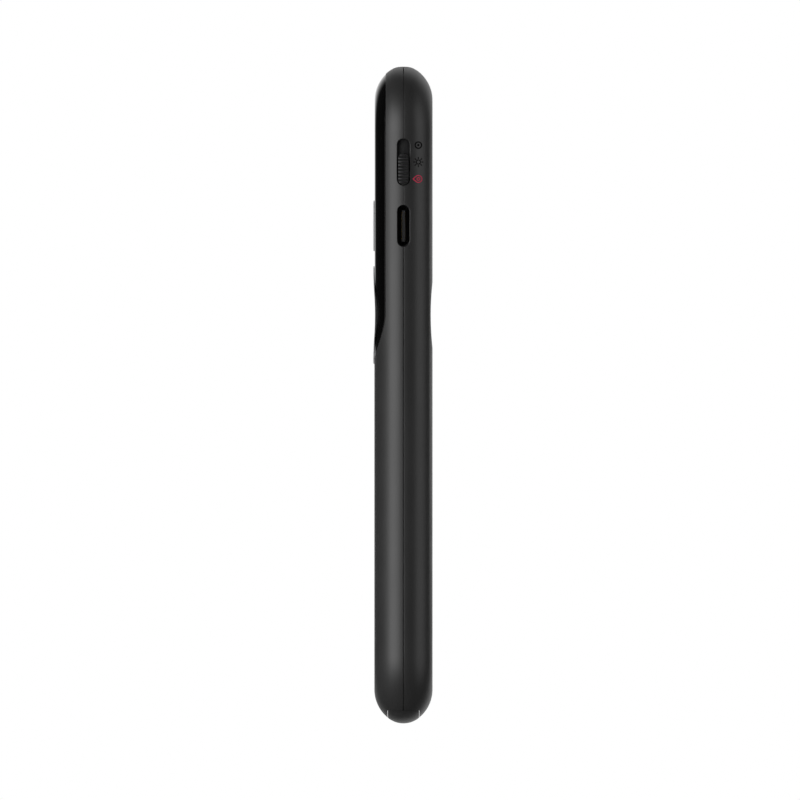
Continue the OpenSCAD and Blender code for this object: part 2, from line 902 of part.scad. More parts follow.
module main_board() {
  color(board_colour)
  difference() {
    translate([-board_half, board_back_y, board_z])
      cube([2 * board_half, board_length, board_thickness]);
    translate([port_back_x - board_gap, port_y - port_width / 2 - port_wall - board_gap, 0])
      cube([body_width, port_width + 2 * (port_wall + board_gap), body_thickness]);
    both_sides()
      translate([nav_screw[0], nav_screw[1], 0])
        cylinder(r = boss_neck_radius + neck_gap, h = body_thickness);
  }
}

// A chip centred a distance from the board's -X edge and from the tip
module chip(size, column, from_tip) {
  translate([column - board_half - size[0] / 2, tip_y - from_tip - size[1] / 2, board_top])
    cube(size);
}

module board_chips() {
  color(inner_colour) {
    chip(processor_size, chip_column, processor_from_tip);
    chip(radio_size, chip_column, radio_from_tip);
    chip(crystal_size, chip_column, crystal_from_tip);
    chip(charger_size, chip_column, charger_from_tip);
    chip(driver_size, chip_far_column, driver_from_tip);
    for (i = [0 : chip_row_count - 1])
      translate([-switch_side / 2 - chip_row_gap - chip_row_size[0],
          tip_y - chip_row_from_tip + i * chip_row_pitch, board_top])
        cube(chip_row_size);
  }
}

module antenna() {
  color("#e9e6df")
  translate([chip_column - board_half - antenna_size[0] / 2, board_front_y - antenna_inset, board_top])
    cube(antenna_size);
}

module status_led() {
  color("#f2f0c8")
  translate([-led_side / 2, light_y - led_side / 2, board_top])
    cube([led_side, led_side, led_height]);
}

// Where the push switches stand along the board's middle
switch_stations = [
  pointer_y,
  nav_y,
  nav_y - peg_offset,
  nav_y + peg_offset
];

module switch_bases() {
  color(steel_colour)
  for (y = switch_stations)
    translate([0, y, board_top])
      difference() {
        translate([-switch_side / 2, -switch_side / 2, 0])
          cube([switch_side, switch_side, switch_height]);
        translate([0, 0, switch_floor])
          cylinder(r = plunger_radius + plunger_gap, h = switch_height);
      }
}

module plunger(y) {
  color("#1a1a1b")
  translate([0, y, switch_top - plunger_depth])
    cylinder(r = plunger_radius, h = plunger_top - switch_top + plunger_depth);
}

module pointer_switch_plunger() {
  plunger(pointer_y);
}

module centre_switch_plunger() {
  plunger(nav_y);
}

module nav_switch_plungers() {
  for (side = [-1, 1])
    plunger(nav_y + side * peg_offset);
}

module mode_slider() {
  plate_back_x = body_width / 2 - plate_inset - plate_thickness;
  knob_face_x = body_width / 2 + knob_proud - rib_height;
  color(button_colour) {
    // knob and its ribs
    translate([0, knob_y, mid_z]) {
      side_stadium(knob_length, knob_width, plate_back_x, knob_face_x);
      intersection() {
        side_stadium(knob_length, knob_width, knob_face_x - root, knob_face_x + rib_height);
        for (i = [0 : rib_count - 1])
          translate([knob_face_x, (i - (rib_count - 1) / 2) * rib_pitch, 0])
            rotate([90, 0, 0])
              linear_extrude(rib_pitch / 2, center = true)
                square([2 * rib_height, 2 * knob_width], center = true);
      }
    }
    // cover plate that slides behind the wall
    intersection() {
      side_skin(plate_inset, plate_inset + plate_thickness,
        knob_y - knob_length / 2 - plate_overlap,
        knob_y + knob_length / 2 + plate_overlap);
      zone(mid_z - plate_half_height, mid_z + plate_half_height);
      translate([body_width / 4, -body_length, 0])
        cube([body_width, 2 * body_length, body_thickness]);
    }
    // fork around the switch's lever
    difference() {
      translate([plate_back_x - fork_reach, knob_y - fork_half, mid_z - fork_half / 2])
        cube([fork_reach + plate_thickness / 2, 2 * fork_half, fork_half]);
      translate([plate_back_x - 2 * fork_reach, knob_y - lever_side / 2 - lever_gap, 0])
        cube([2 * fork_reach - plate_thickness, lever_side + 2 * lever_gap, body_thickness]);
    }
  }
}

module slide_switch_body() {
  height = 2 * port_drop;
  color(steel_colour)
  difference() {
    translate([slide_switch_x, slot_y - slide_switch_length / 2, board_top])
      cube([slide_switch_depth, slide_switch_length, height]);
    translate([slide_switch_x + slide_switch_depth / 2, slot_y, mid_z])
      translate([0, -(slider_travel + lever_side) / 2 - plunger_gap, -lever_side / 2 - lever_gap])
        cube([slide_switch_depth, slider_travel + lever_side + 2 * plunger_gap, lever_side + 2 * lever_gap]);
  }
}

module slide_switch_lever() {
  back_x = slide_switch_x + slide_switch_depth / 2 + lever_gap;
  color("#1a1a1b")
  translate([back_x, knob_y - lever_side / 2, mid_z - lever_side / 2])
    cube([slide_switch_depth / 2 - lever_gap + lever_reach, lever_side, lever_side]);
}

module usb_port_shell() {
  color(steel_colour)
  difference() {
    union() {
      translate([0, port_y, mid_z])
        side_stadium(port_width + 2 * port_wall, port_height + 2 * port_wall, port_back_x, port_mouth_x);
      for (side = [0, 1])
        translate([0, port_y, board_top])
          mirror([0, side, 0])
            translate([port_back_x + port_wall, port_width / 2, 0])
              cube([port_tab[0], port_wall + port_tab[1], port_tab[2]]);
    }
    translate([0, port_y, mid_z])
      side_stadium(port_width, port_height, port_back_x - overcut, port_mouth_x + overcut);
  }
}

module usb_port_tongue() {
  color(inner_colour)
  translate([0, port_y, mid_z]) {
    side_stadium(port_width - 2 * fixing_gap, port_height - 2 * fixing_gap,
      port_back_x, port_back_x + port_block_length);
    translate([port_back_x, -tongue_width / 2, -tongue_thickness / 2])
      cube([port_length - tongue_setback, tongue_width, tongue_thickness]);
  }
}

module usb_port_contacts() {
  color(gold_colour)
  for (i = [0 : port_contact_count - 1], side = [0, 1])
    translate([0, port_y + (i - (port_contact_count - 1) / 2) * port_contact_pitch, mid_z])
      mirror([0, 0, side])
        translate([port_mouth_x - tongue_setback - port_contact_size[0] - port_wall,
            -port_contact_size[1] / 2, tongue_thickness / 2])
          cube(port_contact_size);
}

module laser_barrel() {
  color(gold_colour)
  difference() {
    axis_rod(barrel_radius, barrel_back_y, barrel_front_y);
    axis_rod(barrel_bore_radius, barrel_back_y + overcut, barrel_front_y + overcut);
  }
}

module laser_lens() {
  color("#c9d6dc")
  axis_rod(barrel_bore_radius - fixing_gap, barrel_front_y - 2 * lens_thickness,
    barrel_front_y - lens_thickness);
}

module laser_leads() {
  color(gold_colour)
  both_sides()
    translate([3 * laser_lead_radius, barrel_back_y, board_top + laser_lead_radius])
      rotate([90, 0, 0])
        cylinder(r = laser_lead_radius, h = barrel_back_y - board_front_y + overcut);
}

module laser_bezel() {
  color(inner_colour)
  intersection() {
    difference() {
      union() {
        axis_rod(bezel_radius, flange_seat_y - bezel_gap, tip_y);
        axis_rod(bezel_flange_radius, flange_seat_y - bezel_gap - bezel_flange_thickness,
          flange_seat_y - bezel_gap);
      }
      axis_rod(bezel_bore_radius, 0, body_length);
    }
    body_solid(0);
  }
}

// A dark pane, level with the bezel where the bore meets the tip's surface furthest back
module laser_window() {
  color("#5a1f24")
  axis_rod(bezel_bore_radius - fixing_gap, laser_window_y - laser_window_thickness, laser_window_y);
}

module battery_cell() {
  color("#c8c9c4")
  translate([-battery_width / 2, battery_back_y, battery_z])
    cube([battery_width, battery_length, battery_thickness]);
}

module battery_foam() {
  color("#2b2b2b")
  translate([-foam_width / 2, battery_back_y + overcut, wall])
    cube([foam_width, battery_length - 2 * overcut, foam_thickness]);
}

module battery_connector() {
  color("#e9e6df")
  translate([-connector_size[0] / 2, connector_y, board_top])
    cube(connector_size);
}

// A straight lead between the battery's front end and its connector
module battery_lead(x) {
  translate([x, connector_y, lead_z])
    rotate([90, 0, 0])
      cylinder(r = lead_radius, h = connector_y - battery_front_y);
}

module battery_lead_red() {
  color("#a02020")
  battery_lead(lead_x);
}

module battery_lead_black() {
  color("#1a1a1b")
  battery_lead(-lead_x);
}

module receiver_bay() {
  color(inner_colour)
  difference() {
    translate([-bay_size[0] / 2, bay_front_y, mid_z - bay_size[1] / 2])
      cube([bay_size[0], bay_end_y - bay_front_y, bay_size[1]]);
    translate([-bay_hole[0] / 2, bay_front_y - overcut, mid_z - bay_hole[1] / 2])
      cube([bay_hole[0], bay_depth + overcut, bay_hole[1]]);
  }
}

module bay_magnet() {
  color(steel_colour)
  translate([-magnet_size[0] / 2, bay_end_y, mid_z - magnet_size[2] / 2])
    cube(magnet_size);
}

module receiver_cap() {
  color(shell_colour)
  intersection() {
    body_solid(0);
    zone(mid_z - cap_height / 2, mid_z + cap_height / 2, -body_length, plug_y);
  }
}

module receiver_plug_shell() {
  color(steel_colour)
  difference() {
    translate([-plug_width / 2, plug_y, mid_z - plug_height / 2])
      cube([plug_width, plug_length, plug_height]);
    translate([plug_wall - plug_width / 2, plug_y - overcut, mid_z - plug_height / 2 + plug_wall])
      cube([plug_width - 2 * plug_wall, plug_length + 2 * overcut, plug_height - 2 * plug_wall]);
    both_sides()
      translate([plug_window / 2, plug_window_y, 0])
        cube([plug_window, plug_window, body_thickness]);
  }
}

module receiver_insulator() {
  inner_half = plug_height / 2 - plug_wall - insulator_gap;
  width = plug_width - 2 * (plug_wall + insulator_gap);
  color("#e4e2dc")
  translate([-width / 2, plug_y, mid_z - inner_half])
    cube([width, plug_length, insulator_height]);
}

module receiver_contacts() {
  top_z = mid_z - plug_height / 2 + plug_wall + insulator_gap + insulator_height;
  color(gold_colour)
  for (i = [0 : plug_contact_count - 1])
    translate([(i - (plug_contact_count - 1) / 2) * plug_contact_pitch - plug_contact_size[0] / 2,
        plug_y + plug_length - plug_contact_size[1] - root, top_z])
      cube(plug_contact_size);
}

// A print on the +X side, cut from the skin by an outline drawn in Y and Z
module side_print(y) {
  intersection() {
    side_skin(-print_lift - print_thickness, -print_lift, y - 2 * mark_radius, y + 2 * mark_radius);
    translate([0, y, mark_z])
      rotate([90, 0, 90])
        linear_extrude(body_width)
          children();
  }
}

module ring_outline(radius, line = mark_line) {
  difference() {
    circle(r = radius);
    circle(r = radius - line);
  }
}

// A disc drawn out to a point along Y, the way a beam leaves a lamp
module beam(radius, reach) {
  turn = acos(radius / reach);
  circle(r = radius);
  polygon([
    [-radius * sin(turn), radius * cos(turn)],
    [radius * sin(turn), radius * cos(turn)],
    [0, reach]
  ]);
}

// Spotlight and glare pictograms
module mode_marks() {
  color("black") {
    side_print(slot_y + mark_pitch)
      union() {
        ring_outline(mark_radius);
        circle(r = mark_line);
      }
    side_print(slot_y)
      union() {
        ring_outline(sun_radius);
        for (i = [0 : sun_rays - 1])
          rotate(i * 360 / sun_rays)
            translate([sun_radius + mark_line / 2, -mark_line / 2])
              square([sun_reach - sun_radius - mark_line / 2, mark_line]);
      }
  }
}

// Laser pictogram: a spot inside the outline of a beam
module laser_mark() {
  inner = 1 - beam_line / beam_radius;
  color("#a02038")
  side_print(slot_y - mark_pitch)
    union() {
      ring_outline(beam_spot, beam_line);
      difference() {
        beam(beam_radius, beam_reach);
        beam(inner * beam_radius, inner * beam_reach);
      }
    }
}

front_shell();
back_shell();
front_window();
housing_screws();
pointer_button();
nav_ring();
centre_button();
nav_carrier();
light_pipe();
main_board();
board_chips();
antenna();
status_led();
switch_bases();
pointer_switch_plunger();
centre_switch_plunger();
nav_switch_plungers();
mode_slider();
slide_switch_body();
slide_switch_lever();
usb_port_shell();
usb_port_tongue();
usb_port_contacts();
laser_barrel();
laser_lens();
laser_leads();
laser_bezel();
laser_window();
battery_cell();
battery_foam();
battery_connector();
battery_lead_red();
battery_lead_black();
receiver_bay();
bay_magnet();
receiver_cap();
receiver_plug_shell();
receiver_insulator();
receiver_contacts();
mode_marks();
laser_mark();
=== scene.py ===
"""Looks for a presentation clicker on its back. +Y is its tip, +Z its button face, +X its slider."""
import json
import math

import bmesh
import bpy
import numpy as np
from mathutils import Matrix, Vector


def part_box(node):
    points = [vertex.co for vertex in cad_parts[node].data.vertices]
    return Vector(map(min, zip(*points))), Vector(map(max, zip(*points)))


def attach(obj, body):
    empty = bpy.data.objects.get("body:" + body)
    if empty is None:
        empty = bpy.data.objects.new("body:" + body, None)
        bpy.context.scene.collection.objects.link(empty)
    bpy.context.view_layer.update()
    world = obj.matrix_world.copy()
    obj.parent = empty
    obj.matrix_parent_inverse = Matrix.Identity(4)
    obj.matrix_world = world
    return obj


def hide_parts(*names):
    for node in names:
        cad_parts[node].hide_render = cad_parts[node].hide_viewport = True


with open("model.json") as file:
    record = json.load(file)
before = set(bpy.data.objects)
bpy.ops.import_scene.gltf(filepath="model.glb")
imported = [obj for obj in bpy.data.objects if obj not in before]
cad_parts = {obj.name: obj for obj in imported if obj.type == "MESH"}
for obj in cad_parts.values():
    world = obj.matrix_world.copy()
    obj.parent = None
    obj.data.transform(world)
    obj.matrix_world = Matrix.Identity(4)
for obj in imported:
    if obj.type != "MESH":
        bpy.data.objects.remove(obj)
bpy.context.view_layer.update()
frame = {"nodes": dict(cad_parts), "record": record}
NODES = frame["nodes"]
MM = 0.001


# ------------------------------ sizes, in mm

def span(node):
    """A CAD node's lowest and highest corners, in mm."""
    return [np.array(corner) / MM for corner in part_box(node)]


def middle_y(node):
    """The Y of a CAD node's middle, in mm."""
    low, high = span(node)
    return (low[1] + high[1]) / 2


THICKNESS = span("front_shell")[1][2]
MID = THICKNESS / 2
HALF_WIDTH = span("back_shell")[1][0]
HALF_LENGTH = -span("receiver_cap")[0][1]
STRAIGHT = HALF_LENGTH - HALF_WIDTH
PARTING_GAP = 0.12

# the rounding of the long edges: a nose between two shoulders
EDGE_DEPTH = 7.24
NOSE_RADIUS = 5.2
FLAT = HALF_WIDTH - EDGE_DEPTH
NOSE_X = EDGE_DEPTH - NOSE_RADIUS
SHOULDER_RADIUS = (NOSE_X ** 2 + MID ** 2 - NOSE_RADIUS ** 2) / (2 * (MID - NOSE_RADIUS))
SHOULDER_DROP = SHOULDER_RADIUS - MID
TANGENT = math.acos(NOSE_X / (SHOULDER_RADIUS - NOSE_RADIUS))

# the buttons, and the waist pressed in around the nav ring
FACE_Z = span("pointer_button")[1][2]
PROUD = FACE_Z - THICKNESS
NAV_Y = middle_y("nav_ring")
POINTER_Y = middle_y("pointer_button")
POINTER_RADIUS = 5.4
RING_RADIUS = span("nav_ring")[1][1] - NAV_Y
RING_BORE = 6.75
CENTRE_RADIUS = span("centre_button")[1][0]
CROWN_HEIGHT = 0.04
CAP_CHAMFER = 0.12
DISH_REACH = 5.4
DISH_DEPTH = 0.15
WAIST_HALF = 7.0
WAIST_DEPTH = 0.39
WAIST_RADIUS = (WAIST_HALF ** 2 + WAIST_DEPTH ** 2) / (2 * WAIST_DEPTH)
CREASE = 0.08

# the gloss window
WINDOW_RECESS = 0.06
WINDOW_RADIUS = span("front_window")[1][0]
WINDOW_ARC_Y = span("front_window")[0][1] + WINDOW_RADIUS
WINDOW_GAP = 0.05
WELL_GAP = 0.3
POINTER_GAP = 0.2
HOLE_GAP = 0.05
LIGHT_Y = middle_y("light_pipe")
LIGHT_HOLE = span("light_pipe")[1][0] + HOLE_GAP

# the slider's side
SLOT_Y = 49.6
SLOT_LENGTH = 10.0
SLOT_WIDTH = 2.7
PORT_Y = middle_y("usb_port_shell")
PORT_HOLE_LENGTH = 8.88
PORT_HOLE_WIDTH = 2.62
PORT_MOUTH_X = span("usb_port_shell")[1][0]
SIDE_HOLE_X = PORT_MOUTH_X + 0.2
PORT_MOUTH_LENGTH = 8.34
PORT_MOUTH_WIDTH = 2.56
PORT_WALL = 0.3
KNOB_LENGTH = 6.7
KNOB_WIDTH = 2.2
KNOB_TOP_X = span("mode_slider")[1][0]
KNOB_Y = middle_y("mode_slider")
KNOB_CROWN = 5.2
KNOB_RIM = 0.14
KNOB_SINK = 2.0
RIB_COUNT = 9
RIB_PITCH = 0.72
RIB_SHIFT = 0.12
RIB_DEPTH = 0.2
RIB_FOOT = 0.24 * RIB_PITCH
RIB_CROWN = 0.2 * RIB_PITCH
RIB_FILLET = (0.04, 0.03)
PLATE_TOP_X = KNOB_TOP_X - 0.8

# the ends
BEZEL_HOLE = 2.4 + HOLE_GAP
NOTCH_HALF = 3.4
NOTCH_Y = -67.25
CAP_HALF = span("receiver_cap")[1][2] - MID
CAP_Y = span("receiver_cap")[1][1]


def new_object(name, data):
    """An object in the scene."""
    made = bpy.data.objects.new(name, data)
    bpy.context.scene.collection.objects.link(made)
    return made


# ------------------------------ camera

VIEW_WIDTH = 170.43 * MM
VIEW_RIGHT = 0.735 * MM
VIEW_DOWN = 1.097 * MM
VIEW_DISTANCE = 0.6


def make_camera():
    """Looks straight at the slider's side, with the tip at the top, as through a very long lens."""
    data = bpy.data.cameras.new("photo_camera")
    data.type = "ORTHO"
    data.ortho_scale = VIEW_WIDTH
    data.clip_start = 0.01
    data.clip_end = 50.0
    camera = new_object("photo_camera", data)
    right = Vector((0, 0, -1))
    up = Vector((0, 1, 0))
    back = Vector((1, 0, 0))
    turn = Matrix((right, up, back)).transposed().to_4x4()
    place = Vector((VIEW_DISTANCE, -VIEW_DOWN, MID * MM + VIEW_RIGHT))
    camera.matrix_world = Matrix.Translation(place) @ turn
    bpy.context.scene.camera = camera


make_camera()
bpy.context.scene.view_settings.view_transform = "Standard"


# ------------------------------ the body's form, in mm

# how often the way to a form is halved
HALVINGS = 48


def body_distance(points, inset, crease):
    """How far points lie outside the body's form, drawn in by an inset. A crease softens the waist."""
    past = np.maximum(np.abs(points[..., 1]) - STRAIGHT, 0)
    radius = np.hypot(points[..., 0], past) - FLAT
    height = np.abs(points[..., 2] - MID)
    shoulder = np.hypot(radius, height + SHOULDER_DROP) - SHOULDER_RADIUS
    nose = np.hypot(radius - NOSE_X, height) - NOSE_RADIUS
    on_nose = height + SHOULDER_DROP < math.tan(TANGENT) * radius
    edge = np.where(radius <= 0, height - MID, np.where(on_nose, nose, shoulder))
    to_axis = MID - WAIST_DEPTH + WAIST_RADIUS - height
    waist = WAIST_RADIUS - np.hypot(points[..., 1] - NAV_Y, to_axis)
    soft = np.maximum(crease - np.abs(edge - waist), 0) ** 2 / (4 * crease)
    return np.maximum(edge, waist) + soft + inset


def body_form(inset, crease=CREASE):
    """The body's form, drawn in by an inset. A form gives how far outside it each point lies."""
    return lambda points: body_distance(points, inset, crease)


BODY = body_form(0.0)


def gradient(form, points):
    """The outward direction of a form at points near it."""
    step = 1e-4
    slopes = [form(points + way) - form(points - way) for way in np.eye(3) * step]
    normal = np.stack(slopes, axis=-1)
    return normal / np.linalg.norm(normal, axis=-1, keepdims=True)


def land(points, way, form):
    """Points moved along a direction, from outside, until they meet a form."""
    points = np.asarray(points, float)
    way = np.asarray(way, float)
    near = np.full(len(points), -HALF_LENGTH)
    far = np.zeros(len(points))
    for _ in range(HALVINGS):
        middle = (near + far) / 2
        outside = form(points + middle[:, None] * way) > 0
        near = np.where(outside, middle, near)
        far = np.where(outside, far, middle)
    return points + near[:, None] * way


def plan_radius(height):
    """The radius of the body's half-round ends at a height above its middle."""
    if abs(height) <= NOSE_RADIUS * math.sin(TANGENT):
        return FLAT + NOSE_X + math.sqrt(NOSE_RADIUS ** 2 - height ** 2)
    return FLAT + math.sqrt(SHOULDER_RADIUS ** 2 - (abs(height) + SHOULDER_DROP) ** 2)


# ------------------------------ mesh tools, in mm

# how close points are welded, how far tools overlap what they join, and how far they reach past a cut
WELD = 1e-5
CAD_WELD = 2e-4
OVERLAP = 0.02
PAST = 1.0

# when faces are smoothed together, and when they count as lying on a form
BLEND = math.cos(math.radians(24))
ON_FORM = math.cos(math.radians(12))
NEAR_FORM = 0.045
CORNER_PULL = 0.02


def tidy(mesh, weld):
    """Welds a mesh, turns its faces outward and puts it in an object."""
    bm = bmesh.new()
    bm.from_mesh(mesh)
    bmesh.ops.remove_doubles(bm, verts=bm.verts, dist=weld)
    bmesh.ops.recalc_face_normals(bm, faces=bm.faces)
    bm.to_mesh(mesh)
    bm.free()
    return new_object("work", mesh)


def from_node(name):
    """A CAD node's solid, to build on."""
    mesh = NODES[name].data.copy()
    mesh.materials.clear()
    mesh.transform(Matrix.Scale(1 / MM, 4))
    return tidy(mesh, CAD_WELD)


def loft(rows, close_rows=False):
    """A solid through equal closed rows of points, capped unless its last row meets its first."""
    points = np.asarray(rows, float)
    count, width = points.shape[:2]
    faces = []
    for i in range(count if close_rows else count - 1):
        here, below = i * width, (i + 1) % count * width
        for j in range(width):
            after = (j + 1) % width
            faces.append((here + j, here + after, below + after, below + j))
    if not close_rows:
        faces.append(tuple(range(width)))
        faces.append(tuple(range(count * width - 1, (count - 1) * width - 1, -1)))
    mesh = bpy.data.meshes.new("work")
    mesh.from_pydata(points.reshape(-1, 3).tolist(), [], faces)
    return tidy(mesh, WELD)


def spread(outline, axes):
    """An outline's points in space, its two values along two axes."""
    points = np.zeros((len(outline), 3))
    points[:, list(axes)] = outline
    return points


def extrude(outline, low, high, axes=(0, 1, 2)):
    """A prism: an outline in two axes, between two places on the third."""
    rows = np.stack([spread(outline, axes[:2])] * 2)
    rows[0, :, axes[2]] = low
    rows[1, :, axes[2]] = high
    return loft(rows)


def block(low, high):
    """A box between two corners."""
    corners = [(low[0], low[1]), (high[0], low[1]), (high[0], high[1]), (low[0], high[1])]
    return extrude(corners, low[2], high[2])


def arc(centre, radius, start, end, steps):
    """Points along an arc, angles in degrees."""
    angles = [math.radians(start + (end - start) * i / steps) for i in range(steps + 1)]
    return [(centre[0] + radius * math.cos(a), centre[1] + radius * math.sin(a)) for a in angles]


def circle(radius, centre=(0.0, 0.0), count=160):
    """Points round a circle, anticlockwise."""
    return arc(centre, radius, 0, 360, count)[:-1]


def pill(radius, low, high, step=0.8, count=40):
    """Points round a pill, anticlockwise, with its ends' middles low and high on the second axis."""
    number = math.ceil((high - low) / step)
    run = [low + (high - low) * i / number for i in range(1, number)]
    outline = [(radius, y) for y in run] + arc((0, high), radius, 0, 180, count)
    return outline + [(-radius, y) for y in reversed(run)] + arc((0, low), radius, 180, 360, count)


def inward(outline):
    """Unit directions into an anticlockwise outline."""
    outline = np.asarray(outline, float)
    along = np.roll(outline, -1, axis=0) - np.roll(outline, 1, axis=0)
    normal = np.stack([-along[:, 1], along[:, 0]], axis=1)
    return normal / np.linalg.norm(normal, axis=1, keepdims=True)


def edge_cutter(path, first, second, radius, closed=True, steps=5):
    """What rounding a sharp edge takes away, between surfaces that face two directions."""
    path, first, second = (np.asarray(a, float) for a in (path, first, second))
    first, second = np.broadcast_to(first, path.shape), np.broadcast_to(second, path.shape)
    corner = (first + second) / (1 + np.sum(first * second, axis=1, keepdims=True))
    centre = path - radius * corner
    clear = 0.5 * radius
    columns = []
    for i in range(steps + 1):
        turn = math.pi / 2 * i / steps
        way = first * math.cos(turn) + second * math.sin(turn)
        columns.append(centre + radius * way / np.linalg.norm(way, axis=1, keepdims=True))
    columns.append(columns[-1] + clear * second)
    columns.append(path + clear * corner)
    columns.append(columns[0] + clear * first)
    return loft(np.stack(columns, axis=1), close_rows=closed)


def shape(target, *steps):
    """Joins, cuts or meets an object with tools, in order, and removes the tools."""
    for operation, tool in steps:
        step = target.modifiers.new("step", "BOOLEAN")
        step.operation = operation
        step.solver = "MANIFOLD"
        step.object = tool
    bpy.context.view_layer.update()
    shaped = target.evaluated_get(bpy.context.evaluated_depsgraph_get())
    mesh = bpy.data.meshes.new_from_object(shaped)
    target.modifiers.clear()
    target.data = mesh
    for _, tool in steps:
        bpy.data.objects.remove(tool)
    return target


def join(*tools):
    """Steps that add tools."""
    return [("UNION", tool) for tool in tools]


def cut(*tools):
    """Steps that take tools away."""
    return [("DIFFERENCE", tool) for tool in tools]


def meet(*tools):
    """Steps that keep only what lies within each tool."""
    return [("INTERSECT", tool) for tool in tools]


def read(items, name, kind=float, width=1):
    """One property of all of a mesh's items."""
    values = np.empty(len(items) * width, kind)
    items.foreach_get(name, values)
    return values.reshape(-1, width) if width > 1 else values


def blended(vertex, face, flat, area):
    """Corner normals from the faces round each corner that turn little from its own, by their area."""
    order = np.argsort(vertex, kind="stable")
    used = np.bincount(vertex)
    first = np.cumsum(used) - used
    shared = used[vertex]
    own = np.repeat(np.arange(len(vertex)), shared)
    rank = np.arange(len(own)) - np.repeat(np.cumsum(shared) - shared, shared)
    other = face[order[first[vertex[own]] + rank]]
    alike = np.einsum("ij,ij->i", flat[face[own]], flat[other]) > BLEND
    weight = np.where(alike, area[other] + 1e-9, 0.0)[:, None] * flat[other]
    normals = np.stack([np.bincount(own, weight[:, k], len(vertex)) for k in range(3)], axis=1)
    return normals / np.linalg.norm(normals, axis=1, keepdims=True)


def shade(target, form=None):
    """Smooths a mesh where its faces turn gently. Faces that lie on a form get its exact normals."""
    mesh = target.data
    mesh.shade_smooth()
    points = read(mesh.vertices, "co", width=3)
    flat = read(mesh.polygons, "normal", width=3)
    sides = read(mesh.polygons, "loop_total", int)
    vertex = read(mesh.loops, "vertex_index", int)
    face = np.repeat(np.arange(len(sides)), sides)
    normals = blended(vertex, face, flat, read(mesh.polygons, "area"))
    if form:
        sums = [np.bincount(face, points[vertex][:, k]) for k in range(3)]
        centre = np.stack(sums, axis=1) / sides[:, None]
        near = np.abs(form(points)) < NEAR_FORM
        on_form = np.bincount(face, near[vertex]) == sides
        on_form &= np.einsum("ij,ij->i", gradient(form, centre), flat) > ON_FORM
        corners = on_form[face]
        spots = points[vertex[corners]]
        normals[corners] = gradient(form, spots + CORNER_PULL * (centre[face[corners]] - spots))
    mesh.normals_split_custom_set(normals)


def finish_piece(target, name, body, slot, *nodes, material=None):
    """Names a piece, brings it to metres, dresses it and puts it on its body, for its CAD nodes."""
    target.name = name
    target.data.name = name
    target.data.transform(Matrix.Scale(MM, 4))
    target.data.materials.clear()
    target.data.materials.append(material or MATERIALS[slot])
    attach(target, body)
    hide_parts(*nodes)


# ------------------------------ node helpers

def new_material(name):
    """An empty node material and its tree."""
    material = bpy.data.materials.new(name)
    material.use_nodes = True
    tree = material.node_tree
    tree.nodes.clear()
    output = tree.nodes.new("ShaderNodeOutputMaterial")
    return material, tree, output


def add(near, kind, inputs=None, **settings):
    """A node in a tree, or beside a socket. An input's value may be a socket, which is linked."""
    tree = near.id_data
    node = tree.nodes.new("ShaderNode" + kind)
    for key, value in settings.items():
        setattr(node, key, value)
    for key, value in (inputs or {}).items():
        socket = node.inputs[key]
        if isinstance(value, bpy.types.NodeSocket):
            tree.links.new(value, socket)
        else:
            socket.default_value = value
    return node


def tone(colour, scale=1.0):
    """A colour written as six hex digits, as linear RGBA, made lighter or darker by a scale."""
    parts = [int(colour[i:i + 2], 16) / 255 for i in (0, 2, 4)]
    curve = [c / 12.92 if c <= 0.04045 else ((c + 0.055) / 1.055) ** 2.4 for c in parts]
    return (*(c * scale for c in curve), 1.0)


def grey(level):
    """A grey of a linear level, as RGBA."""
    return (level, level, level, 1.0)


def both(operation, first, second=0.0):
    """One arithmetic step on two numbers, at least one of them a socket."""
    near = first if isinstance(first, bpy.types.NodeSocket) else second
    return add(near, "Math", {0: first, 1: second}, operation=operation).outputs[0]


def bring(value, first, last, low=0.0, high=1.0, ends="LINEAR"):
    """A number's range from first to last brought to low to high, and held there."""
    sockets = {0: value, 1: first, 2: last, 3: low, 4: high}
    return add(value, "MapRange", sockets, interpolation_type=ends).outputs[0]


def soft(value, first, last, low, high):
    """As bring, with soft ends."""
    return bring(value, first, last, low, high, "SMOOTHSTEP")


# ------------------------------ studio

BOX_SCALE = 2.6
KEY_BOX = 1.24
LOW_BOX = 0.44
SHADE = 0.008
BEHIND = 0.38
BEHIND_FROM = 0.6
ABOVE_LESS = 0.4
TIP_MORE = 0.3
AMBIENT = 0.55

# the boxes' brightness by degrees round the body, from its slider's side up over its button face
BOX_LEVELS = [(-108, 0.0), (-92, LOW_BOX), (-72, LOW_BOX), (-50, 0.0),
              (2, 0.0), (32, KEY_BOX), (66, KEY_BOX), (84, 0.0)]
# where they fade out along the body, as parts of a direction
BOX_TIP = (0.36, 0.8)
BOX_TAIL = (-0.64, 0.0)


def soft_boxes(across, along, up):
    """The brightness of the soft boxes in a direction."""
    turn = both("MULTIPLY", both("ARCTAN2", up, across), 180 / math.pi)
    ramp = add(up, "ValToRGB", {0: bring(turn, -180.0, 180.0)})
    ramp.color_ramp.interpolation = "EASE"
    stops = ramp.color_ramp.elements
    stops.remove(stops[-1])
    for angle, level in BOX_LEVELS:
        stops.new((angle + 180) / 360).color = grey(level)
    tipward = soft(along, *BOX_TIP, 1.0, 0.0)
    tailward = soft(along, *BOX_TAIL, 0.0, 1.0)
    return both("MULTIPLY", ramp.outputs[0], both("MULTIPLY", tipward, tailward))


def glow_behind(across, along, up):
    """The brightness of the white behind the clicker in a direction: more to the tip, less above."""
    less = both("MULTIPLY", both("MAXIMUM", up, 0.0), ABOVE_LESS)
    more = both("MULTIPLY", both("MAXIMUM", along, 0.0), TIP_MORE)
    back = both("SUBTRACT", both("SUBTRACT", more, less), across)
    return soft(back, BEHIND_FROM, 1.0, SHADE, BEHIND)


